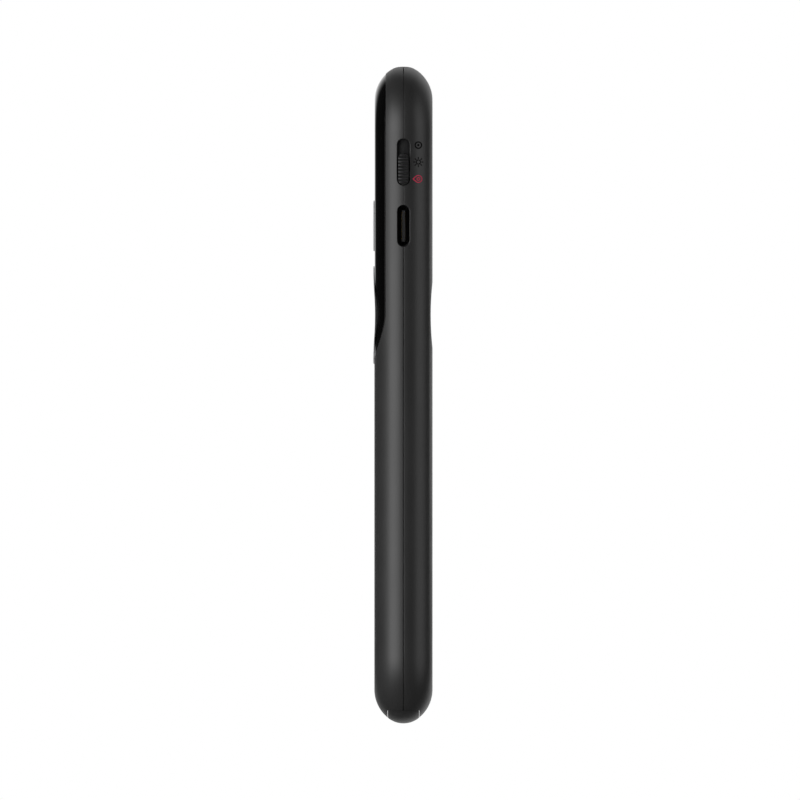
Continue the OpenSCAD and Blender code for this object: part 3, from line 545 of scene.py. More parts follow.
def pick(ray, plain, chosen):
    """The chosen shader for one kind of ray, and the plain one for the rest."""
    return add(ray, "MixShader", {0: ray, 1: plain.outputs[0], 2: chosen.outputs[0]})


def make_world():
    """Plain grey light all round. The camera sees white, and gloss sees soft boxes at both sides."""
    world = bpy.data.worlds.new("studio")
    bpy.context.scene.world = world
    world.use_nodes = True
    world.cycles.sampling_method = "NONE"
    tree = world.node_tree
    tree.nodes.clear()
    output = tree.nodes.new("ShaderNodeOutputWorld")
    rays = add(tree, "LightPath").outputs
    direction = add(tree, "TexCoord").outputs["Generated"]
    parts = add(tree, "SeparateXYZ", {0: direction}).outputs
    seen_in_gloss = both("ADD", soft_boxes(*parts), glow_behind(*parts))
    gloss = add(tree, "Background", {0: seen_in_gloss, 1: BOX_SCALE})
    ambient = add(tree, "Background", {0: grey(1.0), 1: AMBIENT})
    white = add(tree, "Background", {0: grey(1.0), 1: 1.0})
    lit = pick(rays["Is Glossy Ray"], ambient, gloss)
    seen = pick(rays["Is Camera Ray"], lit, white)
    clear = pick(rays["Is Transmission Ray"], seen, white)
    tree.links.new(clear.outputs[0], output.inputs[0])


make_world()

KEY_WATTS = 6.0
KEY_SIZE = (0.5, 0.7)
KEY_PLACE = (0.45, 0.0, 0.75)


def make_key_light():
    """One large soft lamp above the slider's side, which draws the floor's shadow."""
    data = bpy.data.lights.new("key_light", "AREA")
    data.shape = "RECTANGLE"
    data.size, data.size_y = KEY_SIZE
    data.energy = KEY_WATTS
    lamp = new_object("key_light", data)
    lamp.location = KEY_PLACE
    lamp.rotation_euler = (-lamp.location).to_track_quat("-Z", "Y").to_euler()
    lamp.visible_glossy = False


make_key_light()

FLOOR_HALF = 4.0
FLOOR_PAPER = 0.55
FLOOR_GLOW = 0.6
FLOOR_BOUNCE = 0.6


def make_floor():
    """A pale floor that keeps the shadow and reads as white to the camera."""
    mesh = bpy.data.meshes.new("floor")
    corners = [(x * FLOOR_HALF, y * FLOOR_HALF, 0) for x, y in ((-1, -1), (1, -1), (1, 1), (-1, 1))]
    mesh.from_pydata(corners, [], [(0, 1, 2, 3)])
    floor = new_object("floor", mesh)
    material, tree, output = new_material("floor_paper")
    rays = add(tree, "LightPath").outputs
    paper = add(tree, "BsdfDiffuse", {0: grey(FLOOR_PAPER)})
    glow = add(tree, "Emission", {0: grey(1.0), 1: FLOOR_GLOW})
    seen = add(tree, "AddShader", {0: paper.outputs[0], 1: glow.outputs[0]})
    bounce = add(tree, "BsdfDiffuse", {0: grey(FLOOR_BOUNCE)})
    mixed = pick(rays["Is Camera Ray"], bounce, seen)
    tree.links.new(mixed.outputs[0], output.inputs[0])
    mesh.materials.append(material)
    floor.visible_glossy = False


make_floor()


# ------------------------------ material tools

def places(tree):
    """Where a point lies on the part, in mm."""
    place = add(tree, "TexCoord").outputs["Object"]
    return add(tree, "VectorMath", {0: place, 3: 1 / MM}, operation="SCALE").outputs[0]


def stretch(place, x, y, z):
    """Places multiplied along each axis. What is drawn there is long where the factor is small."""
    return add(place, "VectorMath", {0: place, 1: (x, y, z)}, operation="MULTIPLY").outputs[0]


def axis(vector, index):
    """One part of a vector."""
    return add(vector, "SeparateXYZ", {0: vector}).outputs[index]


def upright(near):
    """1 on upright faces and 0 on level ones."""
    facing = add(near, "TexCoord").outputs["Normal"]
    return both("LESS_THAN", both("ABSOLUTE", axis(facing, 2)), 0.5)


def noise(place, per_mm, detail=2.0):
    """Cloudy noise about 0.5, with so many clouds in a mm."""
    return add(place, "TexNoise", {"Vector": place, "Scale": per_mm, "Detail": detail}).outputs[0]


def streaks(place, x, y, z, detail=3.0):
    """Noise with so many streaks in a mm along each axis."""
    return noise(stretch(place, x, y, z), 1.0, detail)


def cells(place, per_mm):
    """How far a point is from the middle of its cell, with so many cells in a mm."""
    return add(place, "TexVoronoi", {"Vector": place, "Scale": per_mm}).outputs["Distance"]


def stripes(value, pitch, share):
    """1 on stripes that take up a share of each pitch, and 0 between them."""
    return both("LESS_THAN", both("FRACT", both("DIVIDE", value, pitch)), share)


def between(factor, first, second):
    """A colour between two, which may be written as six hex digits."""
    first, second = (tone(colour) if isinstance(colour, str) else colour for colour in (first, second))
    return add(factor, "Mix", {0: factor, 6: first, 7: second}, data_type="RGBA").outputs[2]


def relief(height, depth):
    """The bump of a height from 0 to 1, with its depth in mm."""
    return add(height, "Bump", {"Height": height, "Distance": depth * MM}).outputs[0]


def worn(place, radius):
    """Patches of 1 on sharp edges, found within a radius in mm, and 0 away from them."""
    rounded = add(place, "Bevel", {"Radius": radius * MM}, samples=4).outputs[0]
    plain = add(place, "NewGeometry").outputs["Normal"]
    facing = add(place, "VectorMath", {0: rounded, 1: plain}, operation="DOT_PRODUCT").outputs["Value"]
    patches = bring(noise(place, 0.6), 0.35, 0.65, 0.3, 1.0)
    return both("MULTIPLY", bring(facing, 0.99, 0.85), patches)


# ------------------------------ plastics

def moulded(place, colour, roughness, grain, depth):
    """Moulded plastic: a spark-eroded grain, faint clouds, and edges rubbed smoother and paler."""
    clouds = bring(noise(place, 0.09, 3.0), 0.3, 0.7)
    rubbed = worn(place, 0.16)
    dull = bring(clouds, 0.0, 1.0, roughness - 0.02, roughness + 0.02)
    body = between(clouds, tone(colour, 0.95), tone(colour, 1.05))
    return {"Base Color": between(rubbed, body, tone(colour, 1.35)),
            "Roughness": both("SUBTRACT", dull, both("MULTIPLY", rubbed, 0.08)),
            "Normal": relief(noise(place, grain, 3.0), depth)}


def soft_touch(place):
    """The casings' soft charcoal coating, with a very fine grain and smudges where it is held."""
    finish = moulded(place, "282828", 0.42, 9.0, 0.004)
    smudges = bring(noise(stretch(place, 1, 0.5, 1), 0.16, 4.0), 0.55, 0.75, 0.0, 0.03)
    finish["Roughness"] = both("SUBTRACT", finish["Roughness"], smudges)
    return finish


def gloss_window(place):
    """Polished black, with hairline scratches that dull it a little."""
    first = bring(streaks(place, 7, 0.35, 1), 0.66, 0.72)
    second = bring(streaks(place, 0.4, 6, 1), 0.68, 0.74)
    scratches = both("MAXIMUM", first, second)
    smears = bring(noise(place, 0.12, 4.0), 0.4, 0.7, 0.05, 0.075)
    return {"Base Color": between(scratches, "030303", "080808"),
            "Roughness": both("ADD", smears, both("MULTIPLY", scratches, 0.06)),
            "Normal": relief(scratches, 0.0008)}


# a key's painted highlight along its rim: its two ends inside the key's edge, its rise, and its drop
# below the body's face
HIGHLIGHT_START, HIGHLIGHT_END = 0.13, 0.08
HIGHLIGHT_RISE = 0.2
HIGHLIGHT_DROP = 0.06
CENTRE_HIGHLIGHT_DROP = 0.4


def key(y, radius, drop):
    """A satin key of a place and radius, with black walls and a painted highlight on its raised rim."""
    def finish(place):
        made = moulded(place, "0f0f10", 0.27, 12.0, 0.003)
        height = axis(place, 2)
        middle = add(place, "CombineXYZ", {1: y, 2: height}).outputs[0]
        out = add(place, "VectorMath", {0: place, 1: middle}, operation="DISTANCE").outputs["Value"]
        rim = bring(out, radius - HIGHLIGHT_START, radius - HIGHLIGHT_END)
        low = THICKNESS - drop
        pale = both("MULTIPLY", rim, bring(height, low, low + HIGHLIGHT_RISE))
        walls = between(upright(place), made["Base Color"], "060606")
        # painted highlight: pale grey on the raised rim, standing in for light catching it, fading as
        # the rim drops
        made["Base Color"] = between(pale, walls, "c4c4c6")
        made["Specular IOR Level"] = 0.3
        return made
    return finish


# how far below the knob's top the painted shade between its ribs starts and is full
RIB_SHADE_START, RIB_SHADE_FULL = 0.08, 0.2


def slider(place):
    """The knob's satin black with painted shade between its ribs, over a duller plate painted lighter to
    lift the slot's shade.
    """
    x = axis(place, 0)
    finish = moulded(place, "1c1c1d", 0.36, 10.0, 0.004)
    # painted shade: dark down between the ribs, the knob's own tone towards their tops
    rib_shade = bring(x, KNOB_TOP_X - RIB_SHADE_FULL, KNOB_TOP_X - RIB_SHADE_START)
    ribs = between(rib_shade, "0a0a0a", "242425")
    # painted light: the plate deep in the slot is painted lighter to lift the shade there
    plate = both("LESS_THAN", x, PLATE_TOP_X)
    finish["Base Color"] = between(plate, ribs, "232324")
    finish["Roughness"] = bring(plate, 0.0, 1.0, finish["Roughness"], 0.65)
    return finish


def inner_plastic(place):
    """Black frames with a coarse grain and faint flow lines."""
    flow = streaks(place, 0.6, 0.15, 0.6, 4.0)
    finish = moulded(place, "151516", 0.46, 5.0, 0.008)
    uneven = bring(flow, 0.4, 0.6, -0.05, 0.05)
    finish["Roughness"] = both("ADD", finish["Roughness"], uneven)
    return finish


def tongue(place):
    """The port's tongue: hard black resin, scuffed by plugs along its way in."""
    scuffs = bring(streaks(place, 0.3, 8, 1), 0.55, 0.7)
    return {"Base Color": between(scuffs, "151516", "2c2c2d"),
            "Roughness": bring(scuffs, 0.0, 1.0, 0.5, 0.35),
            "Normal": relief(scuffs, 0.003)}


def foam(place):
    """A charcoal foam pad, all small closed cells."""
    pores = cells(place, 3.0)
    return {"Base Color": between(pores, "101010", "2c2c2c"),
            "Roughness": bring(pores, 0.2, 0.8, 0.98, 0.85),
            "Normal": relief(both("ADD", pores, noise(place, 8.0)), 0.12)}


def rubber_lead(colour):
    """A silicone-covered lead in a colour, with faint lines from its die."""
    def finish(place):
        dust = bring(noise(place, 4.0, 4.0), 0.55, 0.75)
        lines = streaks(place, 12, 1, 12, 2.0)
        return {"Base Color": between(dust, colour, tone(colour, 1.6)),
                "Roughness": bring(dust, 0.0, 1.0, 0.4, 0.55),
                "Normal": relief(lines, 0.004)}
    return finish


def ink(colour, pale):
    """Pad-printed ink in a colour, thin and paler where it missed the grain."""
    def finish(place):
        missed = bring(noise(place, 14.0, 3.0), 0.6, 0.8)
        return {"Base Color": between(missed, colour, pale),
                "Roughness": bring(missed, 0.0, 1.0, 0.75, 0.6),
                "Specular IOR Level": 0.05,
                "Normal": relief(missed, 0.002)}
    return finish


# ------------------------------ metal, glass, electronics

def plated(colour, low, high, metal=1.0):
    """Plated steel in a colour: drawn lines along it, faint stains, and roughness between two values."""
    def finish(place):
        lines = streaks(place, 12, 0.5, 12)
        stains = bring(noise(place, 0.5, 3.0), 0.35, 0.7)
        rubbed = worn(place, 0.1)
        body = between(stains, colour, tone(colour, 0.8))
        return {"Base Color": between(rubbed, body, tone(colour, 1.3)),
                "Metallic": metal,
                "Roughness": bring(lines, 0.3, 0.7, low, high),
                "Normal": relief(lines, 0.0015)}
    return finish


def gold(place):
    """Gold-plated contacts with the marks of many plugs."""
    strokes = bring(streaks(place, 0.5, 10, 1), 0.5, 0.7)
    return {"Base Color": between(strokes, "e3bc62", "c99b45"),
            "Metallic": 1.0,
            "Roughness": bring(strokes, 0.0, 1.0, 0.18, 0.34),
            "Normal": relief(strokes, 0.002)}


def turned_brass(place):
    """Brass turned on a lathe: fine rings along the laser's axis, and a little tarnish."""
    rings = streaks(place, 0.02, 9, 0.02, 2.0)
    tarnish = bring(noise(place, 0.4, 4.0), 0.5, 0.75)
    return {"Base Color": between(tarnish, "cfa95c", "8e6c34"),
            "Metallic": 1.0,
            "Roughness": bring(tarnish, 0.0, 1.0, 0.22, 0.42),
            "Normal": relief(rings, 0.01)}


def glass(colour, clear, roughness):
    """Clear stuff of a colour, with a share of light let through, faint smears and specks of dust."""
    def finish(place):
        smears = bring(noise(place, 0.9, 4.0), 0.45, 0.7)
        dust = bring(cells(place, 2.2), 0.06, 0.03)
        return {"Base Color": between(dust, colour, "9a9a98"),
                "Transmission Weight": clear,
                "IOR": 1.5,
                "Roughness": bring(smears, 0.0, 1.0, roughness, roughness + 0.06),
                "Normal": relief(dust, 0.002)}
    return finish


BOARD_TOP = span("main_board")[1][2]
TRACK_PITCH, TRACK_SHARE = 0.55, 0.42
LEG_HEIGHT, LEG_PITCH, LEG_SHARE = 0.3, 0.5, 0.45


def circuit_board(place):
    """Green mask over copper tracks, plated holes through it, and bare laminate at the board's edges."""
    level = stretch(place, 1, 1, 0)
    across, along = (stripes(axis(place, i), TRACK_PITCH, TRACK_SHARE) for i in (0, 1))
    turned = both("GREATER_THAN", noise(level, 0.18, 0.0), 0.5)
    where = both("GREATER_THAN", noise(level, 0.3, 0.0), 0.46)
    tracks = both("ADD", both("MULTIPLY", turned, across),
                  both("MULTIPLY", both("SUBTRACT", 1.0, turned), along))
    tracks = both("MULTIPLY", tracks, where)
    hole = cells(level, 0.38)
    ring = both("LESS_THAN", hole, 0.14)
    mask = between(tracks, "0b4424", "17663a")
    holed = both("LESS_THAN", hole, 0.06)
    face = between(holed, between(ring, mask, "d8b45e"), "050505")
    weave = streaks(place, 1, 1, 12)
    edge = between(weave, "8f8250", "c8ba86")
    flat = both("SUBTRACT", 1.0, upright(place))
    return {"Base Color": between(flat, edge, face),
            "Metallic": both("MULTIPLY", ring, flat),
            "Roughness": bring(noise(place, 2.0), 0.3, 0.7, 0.22, 0.34),
            "Normal": relief(both("MAXIMUM", tracks, ring), 0.03)}


def chip(place):
    """Matt epoxy packages on rows of tinned legs."""
    along = both("ADD", axis(place, 0), axis(place, 1))
    low = both("LESS_THAN", axis(place, 2), BOARD_TOP + LEG_HEIGHT)
    sides = both("MULTIPLY", upright(place), low)
    legs = both("MULTIPLY", sides, stripes(along, LEG_PITCH, LEG_SHARE))
    grain = noise(place, 10.0, 3.0)
    epoxy = between(grain, "111112", "202021")
    return {"Base Color": between(legs, epoxy, "c4c4c2"),
            "Metallic": legs,
            "Roughness": bring(legs, 0.0, 1.0, 0.6, 0.3),
            "Normal": relief(grain, 0.006)}


def ceramic(place):
    """Fine off-white ceramic and nylon, speckled, with a faint bloom of flux near the board."""
    specks = bring(cells(place, 5.0), 0.1, 0.25)
    bloom = bring(axis(place, 2), BOARD_TOP, BOARD_TOP + 0.5)
    body = between(specks, "b9b3a4", "dfdace")
    return {"Base Color": between(bloom, "c6b48a", body),
            "Roughness": bring(noise(place, 3.0), 0.3, 0.7, 0.35, 0.5),
            "Normal": relief(noise(place, 9.0, 3.0), 0.005)}


CELL_LOW, CELL_HIGH = span("battery_cell")
CRINKLE_REACH = 6.0
TAPE_LENGTH = 4.5
SEAM_INSET = 1.2


def battery_wrap(place):
    """A foil pouch: crinkled at its ends, seams along its sides, and amber tape over its front end."""
    y = axis(place, 1)
    from_tail = both("SUBTRACT", y, CELL_LOW[1])
    from_end = both("MINIMUM", from_tail, both("SUBTRACT", CELL_HIGH[1], y))
    ends = bring(from_end, 0.0, CRINKLE_REACH, 1.0, 0.15)
    crinkle = both("MULTIPLY", noise(stretch(place, 1, 0.4, 1), 0.9, 4.0), ends)
    seam = stripes(both("ABSOLUTE", axis(place, 0)), CELL_HIGH[0] - SEAM_INSET, 0.02)
    tape = both("GREATER_THAN", y, CELL_HIGH[1] - TAPE_LENGTH)
    stains = bring(noise(place, 0.3, 3.0), 0.4, 0.7)
    foil = between(stains, "b4b6b5", "9c9e9d")
    return {"Base Color": between(tape, foil, "a8701c"),
            "Metallic": both("SUBTRACT", 0.9, both("MULTIPLY", tape, 0.8)),
            "Roughness": bring(stains, 0.0, 1.0, 0.3, 0.42),
            "Normal": relief(both("SUBTRACT", crinkle, seam), 0.12)}


def painted(name, finish):
    """A material. The finish gives its shader's sockets: links where they vary, else plain values."""
    material, tree, output = new_material(name)
    shader = add(tree, "BsdfPrincipled", finish(places(tree)))
    tree.links.new(shader.outputs[0], output.inputs[0])
    return material


FINISHES = {
    "shell": soft_touch,
    "gloss_window": gloss_window,
    "button": key(POINTER_Y, POINTER_RADIUS, HIGHLIGHT_DROP),
    "slider": slider,
    "inner_plastic": inner_plastic,
    "light_pipe": glass("d8d8d2", 0.8, 0.12),
    "circuit_board": circuit_board,
    "chip": chip,
    "ceramic": ceramic,
    "steel": plated("c6c7c9", 0.32, 0.4, 0.6),
    "tongue": tongue,
    "contact_gold": gold,
    "laser_brass": turned_brass,
    "lens": glass("e4edf2", 1.0, 0.01),
    "laser_glass": glass("4a0a10", 0.6, 0.05),
    "battery_wrap": battery_wrap,
    "foam": foam,
    "lead_red": rubber_lead("b0201c"),
    "lead_black": rubber_lead("101010"),
    "print_black": ink("000000", "0a0a0a"),
    "print_red": ink("d03656", "8c2236"),
}
MATERIALS = {slot: painted(slot, finish) for slot, finish in FINISHES.items()}
KEY_PAINTS = {"pointer_button": MATERIALS["button"],
              "nav_ring": painted("ring_paint", key(NAV_Y, RING_RADIUS, HIGHLIGHT_DROP)),
              "centre_button": painted("centre_paint", key(NAV_Y, CENTRE_RADIUS, CENTRE_HIGHLIGHT_DROP))}
PORT_STEEL = painted("port_steel", plated("2c2c2d", 0.28, 0.42))
CHEVRON_INK = painted("chevron_ink", ink("a4a4a6", "7c7c7e"))


def dress_nodes():
    """Gives each CAD node the material of its slot."""
    for part in frame["record"]["subparts"]:
        mesh = NODES[part["node"]].data
        mesh.materials.clear()
        mesh.materials.append(MATERIALS[part["material_slot"]])


dress_nodes()


# ------------------------------ edges, in mm

EDGE_ROUND = 0.12
BUTTON_ROUND = 0.16
WINDOW_ROUND = 0.08
TAIL_ROUND = 0.03

# the seam, which all but closes between two places near the tip
SEAM_TIGHT = (38.0, 67.2)
SEAM_TAPER = 1.5
SEAM_FILL = 0.09
SEAM_DEPTH = 0.5
SEAM_SINK = 0.004
SEAM_LAP = 1e-4

# the receiver's cap, the new faces of the round keys, and the chevrons let into the ring
CAP_GROW = 0.09
CAP_SEAM = 0.015
CAP_LAND = 6.6
CAP_NECK = 0.5
KEY_JOIN = 1.0
KEY_LAP = 0.05
KEY_CREASE = 0.3
KEY_RINGS = 32
ENGRAVED = 0.06
CHEVRON_HALF, CHEVRON_RISE, CHEVRON_LINE = 0.95, 0.6, 0.3


def racetrack(radius, z, step=1.0):
    """Points round the body at a plan radius and a height."""
    return np.array([(x, y, z) for x, y in pill(radius, -STRAIGHT, STRAIGHT, step, 90)])


def form_edge(path, second, radius, closed=True):
    """The cutter for an edge where the body's form meets a surface that faces the second direction."""
    path = np.asarray(path, float)
    return edge_cutter(path, gradient(BODY, path), second, radius, closed)


def laid(outline, axes, form):
    """An outline about the body's middle in two axes, laid on a form from the third."""
    way = -np.eye(3)[3 - sum(axes)]
    return land(spread(outline, axes) + (0, 0, MID), way, form)


def laid_edge(outline, axes, radius, form=BODY, side=1, steps=5):
    """The cutter for an outline's edge in a form: side is 1 round an opening and -1 round a piece."""
    path = laid(outline, axes, form)
    second = side * spread(inward(outline), axes)
    return edge_cutter(path, gradient(form, path), second, radius, steps=steps)


def seam_fill(y):
    """How much further down the front casing reaches near the tip, where the seam all but closes."""
    rise = np.clip((y - SEAM_TIGHT[0]) / SEAM_TAPER, 0, 1)
    fall = np.clip((SEAM_TIGHT[1] - y) / SEAM_TAPER, 0, 1)
    return SEAM_FILL * (3 * rise ** 2 - 2 * rise ** 3) * (3 * fall ** 2 - 2 * fall ** 3)


def parting_edge(side):
    """The cutter for a shell's edge along the parting line: side is 1 for the front, -1 for the back."""
    height = side * PARTING_GAP / 2
    path = racetrack(plan_radius(height), MID + height)
    if side > 0:
        path[:, 2] -= seam_fill(path[:, 1])
    return form_edge(path, (0, 0, -side), EDGE_ROUND)


def seam_strip(side):
    """The strip that narrows the seam on one side: 1 for the slider's side, -1 for the other."""
    outline = racetrack(HALF_WIDTH - SEAM_SINK, MID, 0.5)
    chosen = [p for p in outline if side * p[0] > 0 and SEAM_TIGHT[0] <= p[1] <= SEAM_TIGHT[1]]
    inner = (HALF_WIDTH - SEAM_DEPTH) / HALF_WIDTH
    rows = []
    for x, y, z in sorted(chosen, key=lambda p: p[1]):
        past = max(y - STRAIGHT, 0)
        low = z + PARTING_GAP / 2 - seam_fill(y) - SEAM_LAP
        high = z + 2 * PARTING_GAP
        deep = (x * inner, y - past * (1 - inner))
        rows.append([(x, y, low), (x, y, high), (*deep, high), (*deep, low)])
    return loft(rows)


def side_outline(length, width, y):
    """Points round a stadium in the body's side, as Z from the body's middle and Y."""
    half = (length - width) / 2
    return pill(width / 2, y - half, y + half, 0.3, 24)


def side_hole(stadium):
    """A stadium-shaped hole through the +X wall, to clear it again."""
    outline = [(b, MID + a) for a, b in side_outline(*stadium)]
    return extrude(outline, SIDE_HOLE_X, HALF_WIDTH + PAST, axes=(1, 2, 0))


def tail_arc(height, y):
    """Points round the tail, past a Y, at a height above the body's middle."""
    radius = plan_radius(height)
    reach = math.degrees(math.acos((-y - STRAIGHT) / radius))
    return [(a, b, MID + height) for a, b in arc((0, -STRAIGHT), radius, -90 - reach, -90 + reach, 60)]


# ------------------------------ visible pieces

def make_shells():
    """The two casings, with fine rounded edges at their parting line and every opening."""
    stadiums = ((SLOT_LENGTH, SLOT_WIDTH, SLOT_Y), (PORT_HOLE_LENGTH, PORT_HOLE_WIDTH, PORT_Y))
    for side, node in ((1, "front_shell"), (-1, "back_shell")):
        tail = tail_arc(side * NOTCH_HALF, NOTCH_Y)
        steps = cut(parting_edge(side),
                    *(laid_edge(side_outline(*stadium), (2, 1), EDGE_ROUND) for stadium in stadiums),
                    laid_edge(circle(BEZEL_HOLE, count=72), (0, 2), EDGE_ROUND),
                    form_edge(tail, (0, 0, -side), TAIL_ROUND, closed=False))
        if side > 0:
            pocket = pill(WINDOW_RADIUS + WINDOW_GAP, WINDOW_ARC_Y, STRAIGHT)
            steps = join(seam_strip(1), seam_strip(-1)) + cut(*map(side_hole, stadiums)) + steps
            steps += cut(laid_edge(pocket, (0, 1), EDGE_ROUND))
        piece = shape(from_node(node), *steps)
        shade(piece, BODY)
        finish_piece(piece, node.split("_")[0] + "_casing", "housing", "shell", node)


def make_window():
    """The gloss window, with soft edges at its rim and round its buttons and light."""
    form = body_form(WINDOW_RECESS)
    edges = ((pill(WINDOW_RADIUS, WINDOW_ARC_Y, STRAIGHT), -1),
             (circle(POINTER_RADIUS + POINTER_GAP, (0, POINTER_Y)), 1),
             (circle(RING_RADIUS + WELL_GAP, (0, NAV_Y)), 1),
             (circle(LIGHT_HOLE, (0, LIGHT_Y), 40), 1))
    tools = [laid_edge(outline, (0, 1), WINDOW_ROUND, form, side) for outline, side in edges]
    piece = shape(from_node("front_window"), *cut(*tools))
    shade(piece, form)
    finish_piece(piece, "gloss_window", "housing", "gloss_window", "front_window")


def crown(points):
    """The pointer button's face, which rises a little towards its middle."""
    out = np.hypot(points[..., 0], points[..., 1] - POINTER_Y)
    return points[..., 2] - FACE_Z + CROWN_HEIGHT * out / (POINTER_RADIUS - CAP_CHAMFER)


def dished(points):
    """The centre button's face: the waist, sunk softly towards its middle."""
    out = np.hypot(points[..., 0], points[..., 1] - NAV_Y) / DISH_REACH
    dip = DISH_DEPTH * np.maximum(1 - out ** 2, 0) ** 2
    return body_distance(points + dip[..., None] * np.array([0.0, 0.0, 1.0]), -PROUD, KEY_CREASE)


def faced(node, form, bore, outer):
    """A round key as the CAD has it, but with its face laid anew on a form. Its bore may be 0."""
    low, high = span(node)
    join_z = FACE_Z - KEY_JOIN
    radii = np.linspace(max(bore, OVERLAP), outer, KEY_RINGS)
    rows = [laid(circle(radius, (0, NAV_Y)), (0, 1), form) for radius in radii]
    feet = [row * (1, 1, 0) + (0, 0, join_z - KEY_LAP) for row in (rows[0], rows[-1])]
    face = loft(feet[:1] * (bore > 0) + rows + feet[1:], close_rows=bore > 0)
    keep = block(low - PAST, (high[0] + PAST, high[1] + PAST, join_z))
    return shape(from_node(node), *meet(keep), *join(face))


def chevron(side, low, high):
    """A prism of the nav ring's chevron, which points to the tip (1) or to the tail (-1)."""
    outer = CHEVRON_RISE / 2
    inner = outer - CHEVRON_LINE
    outline = [(-CHEVRON_HALF, -outer), (0, outer), (CHEVRON_HALF, -outer),
               (CHEVRON_HALF, -outer - CHEVRON_LINE), (0, inner), (-CHEVRON_HALF, -outer - CHEVRON_LINE)]
    middle = (RING_BORE + RING_RADIUS) / 2
    return extrude([(side * a, NAV_Y + side * (middle + b)) for a, b in outline], low, high)


def make_chevrons():
    """Pale inlays in the nav ring's engraved chevrons."""
    low, high = FACE_Z - ENGRAVED, FACE_Z - ENGRAVED / 4
    piece = shape(chevron(1, low, high), *join(chevron(-1, low, high)))
    shade(piece)
    finish_piece(piece, "nav_chevrons", "nav", "button", material=CHEVRON_INK)


def make_key(node, name, body, blank, y, form, rims, engraved=()):
    """One key with soft edges. Each rim is a radius with -1, or 1 for a bore."""
    circles = [(circle(radius, (0, y)), side) for radius, side in rims]
    tools = [laid_edge(outline, (0, 1), BUTTON_ROUND, form, side, 8) for outline, side in circles]
    piece = shape(blank, *cut(*tools), *engraved)
    shade(piece, form)
    finish_piece(piece, name, body, "button", node, material=KEY_PAINTS[node])


def make_buttons():
    """The pointer button, the nav ring with its engraved chevrons, and the centre button."""
    make_key("pointer_button", "pointer_cap", "pointer", from_node("pointer_button"),
             POINTER_Y, crown, [(POINTER_RADIUS, -1)])
    saddle = body_form(-PROUD, KEY_CREASE)
    engraved = cut(*(chevron(side, FACE_Z - ENGRAVED, FACE_Z + PAST) for side in (-1, 1)))
    make_key("nav_ring", "rocker_ring", "nav", faced("nav_ring", saddle, RING_BORE, RING_RADIUS),
             NAV_Y, saddle, [(RING_RADIUS, -1), (RING_BORE, 1)], engraved)
    make_key("centre_button", "centre_cap", "centre", faced("centre_button", dished, 0.0, CENTRE_RADIUS),
             NAV_Y, dished, [(CENTRE_RADIUS, -1)])


def knob_blank():
    """The knob before its ribs are cut: a pill with a rounded rim."""
    half = (KNOB_LENGTH - KNOB_WIDTH) / 2
    bends = 6
    rows = []
    for i in range(-1, bends + 1):
        turn = math.radians(90 * max(i, 0) / bends)
        radius = KNOB_WIDTH / 2 - KNOB_RIM * (1 - math.cos(turn))
        x = KNOB_TOP_X - (KNOB_SINK if i < 0 else KNOB_RIM * (1 - math.sin(turn)))
        rows.append([(x, KNOB_Y + b, MID + a) for a, b in pill(radius, -half, half, 0.3, 24)])
    return loft(rows)


def rib_comb():
    """A prism across the knob that leaves its ribs, with round tops and small fillets at their feet."""
    low_y, high_y = KNOB_Y - KNOB_LENGTH, KNOB_Y + KNOB_LENGTH
    root_x = KNOB_TOP_X - RIB_DEPTH
    out, up = RIB_FILLET
    comb = [(low_y, PLATE_TOP_X - KNOB_SINK), (low_y, root_x)]
    for i in range(RIB_COUNT):
        middle = KNOB_Y + RIB_SHIFT + (i - (RIB_COUNT - 1) / 2) * RIB_PITCH
        comb += [(middle - RIB_FOOT - out, root_x), (middle - RIB_FOOT, root_x + up)]
        comb += arc((middle, KNOB_TOP_X - RIB_CROWN), RIB_CROWN, 180, 0, 8)
        comb += [(middle + RIB_FOOT, root_x + up), (middle + RIB_FOOT + out, root_x)]
    comb += [(high_y, root_x), (high_y, PLATE_TOP_X - KNOB_SINK)]
    return extrude(comb, MID - KNOB_WIDTH, MID + KNOB_WIDTH, axes=(1, 0, 2))


def make_slider():
    """The mode slider: the CAD's plate and fork, with a new knob that has nine rounded ribs."""
    curve = [(a, MID + b) for a, b in circle(KNOB_CROWN, (KNOB_TOP_X - KNOB_CROWN, 0))]
    barrel = extrude(curve, KNOB_Y - KNOB_LENGTH, KNOB_Y + KNOB_LENGTH, axes=(0, 2, 1))
    knob = shape(knob_blank(), *meet(rib_comb(), barrel))
    low, high = span("mode_slider")
    keep = block(low - PAST, (PLATE_TOP_X, *(high[1:] + PAST)))
    piece = shape(from_node("mode_slider"), *meet(keep), *join(knob))
    shade(piece)
    finish_piece(piece, "slider_knob", "slider", "slider", "mode_slider")


def make_cap():
    """The receiver's cap, which reaches nearly to the shells on three sides, with rounded edges."""
    half = CAP_HALF + CAP_GROW
    back_y = NOTCH_Y - CAP_SEAM
    steps = []
    for y, inset in ((back_y, 0.0), (NOTCH_Y, CAP_LAND)):
        body = from_node("receiver_cap")
        body.data.transform(Matrix.Translation((0, y - CAP_Y, 0)))
        reach = HALF_WIDTH - inset
        room = block((-reach, CAP_Y - CAP_NECK, MID - CAP_HALF), (reach, NOTCH_Y, MID + CAP_HALF))
        steps += join(shape(body, *meet(room)))
    for side in (-1, 1):
        outline = [point[:2] for point in tail_arc(half, back_y)]
        low, high = sorted((MID + side * (CAP_HALF - OVERLAP), MID + side * half))
        steps += join(extrude(outline, low, high))
    for side in (-1, 1):
        steps += cut(form_edge(tail_arc(side * half, back_y), (0, 0, side), TAIL_ROUND, closed=False))
    piece = shape(from_node("receiver_cap"), *steps)
    shade(piece, BODY)
    finish_piece(piece, "receiver_end_cap", "receiver", "shell", "receiver_cap")


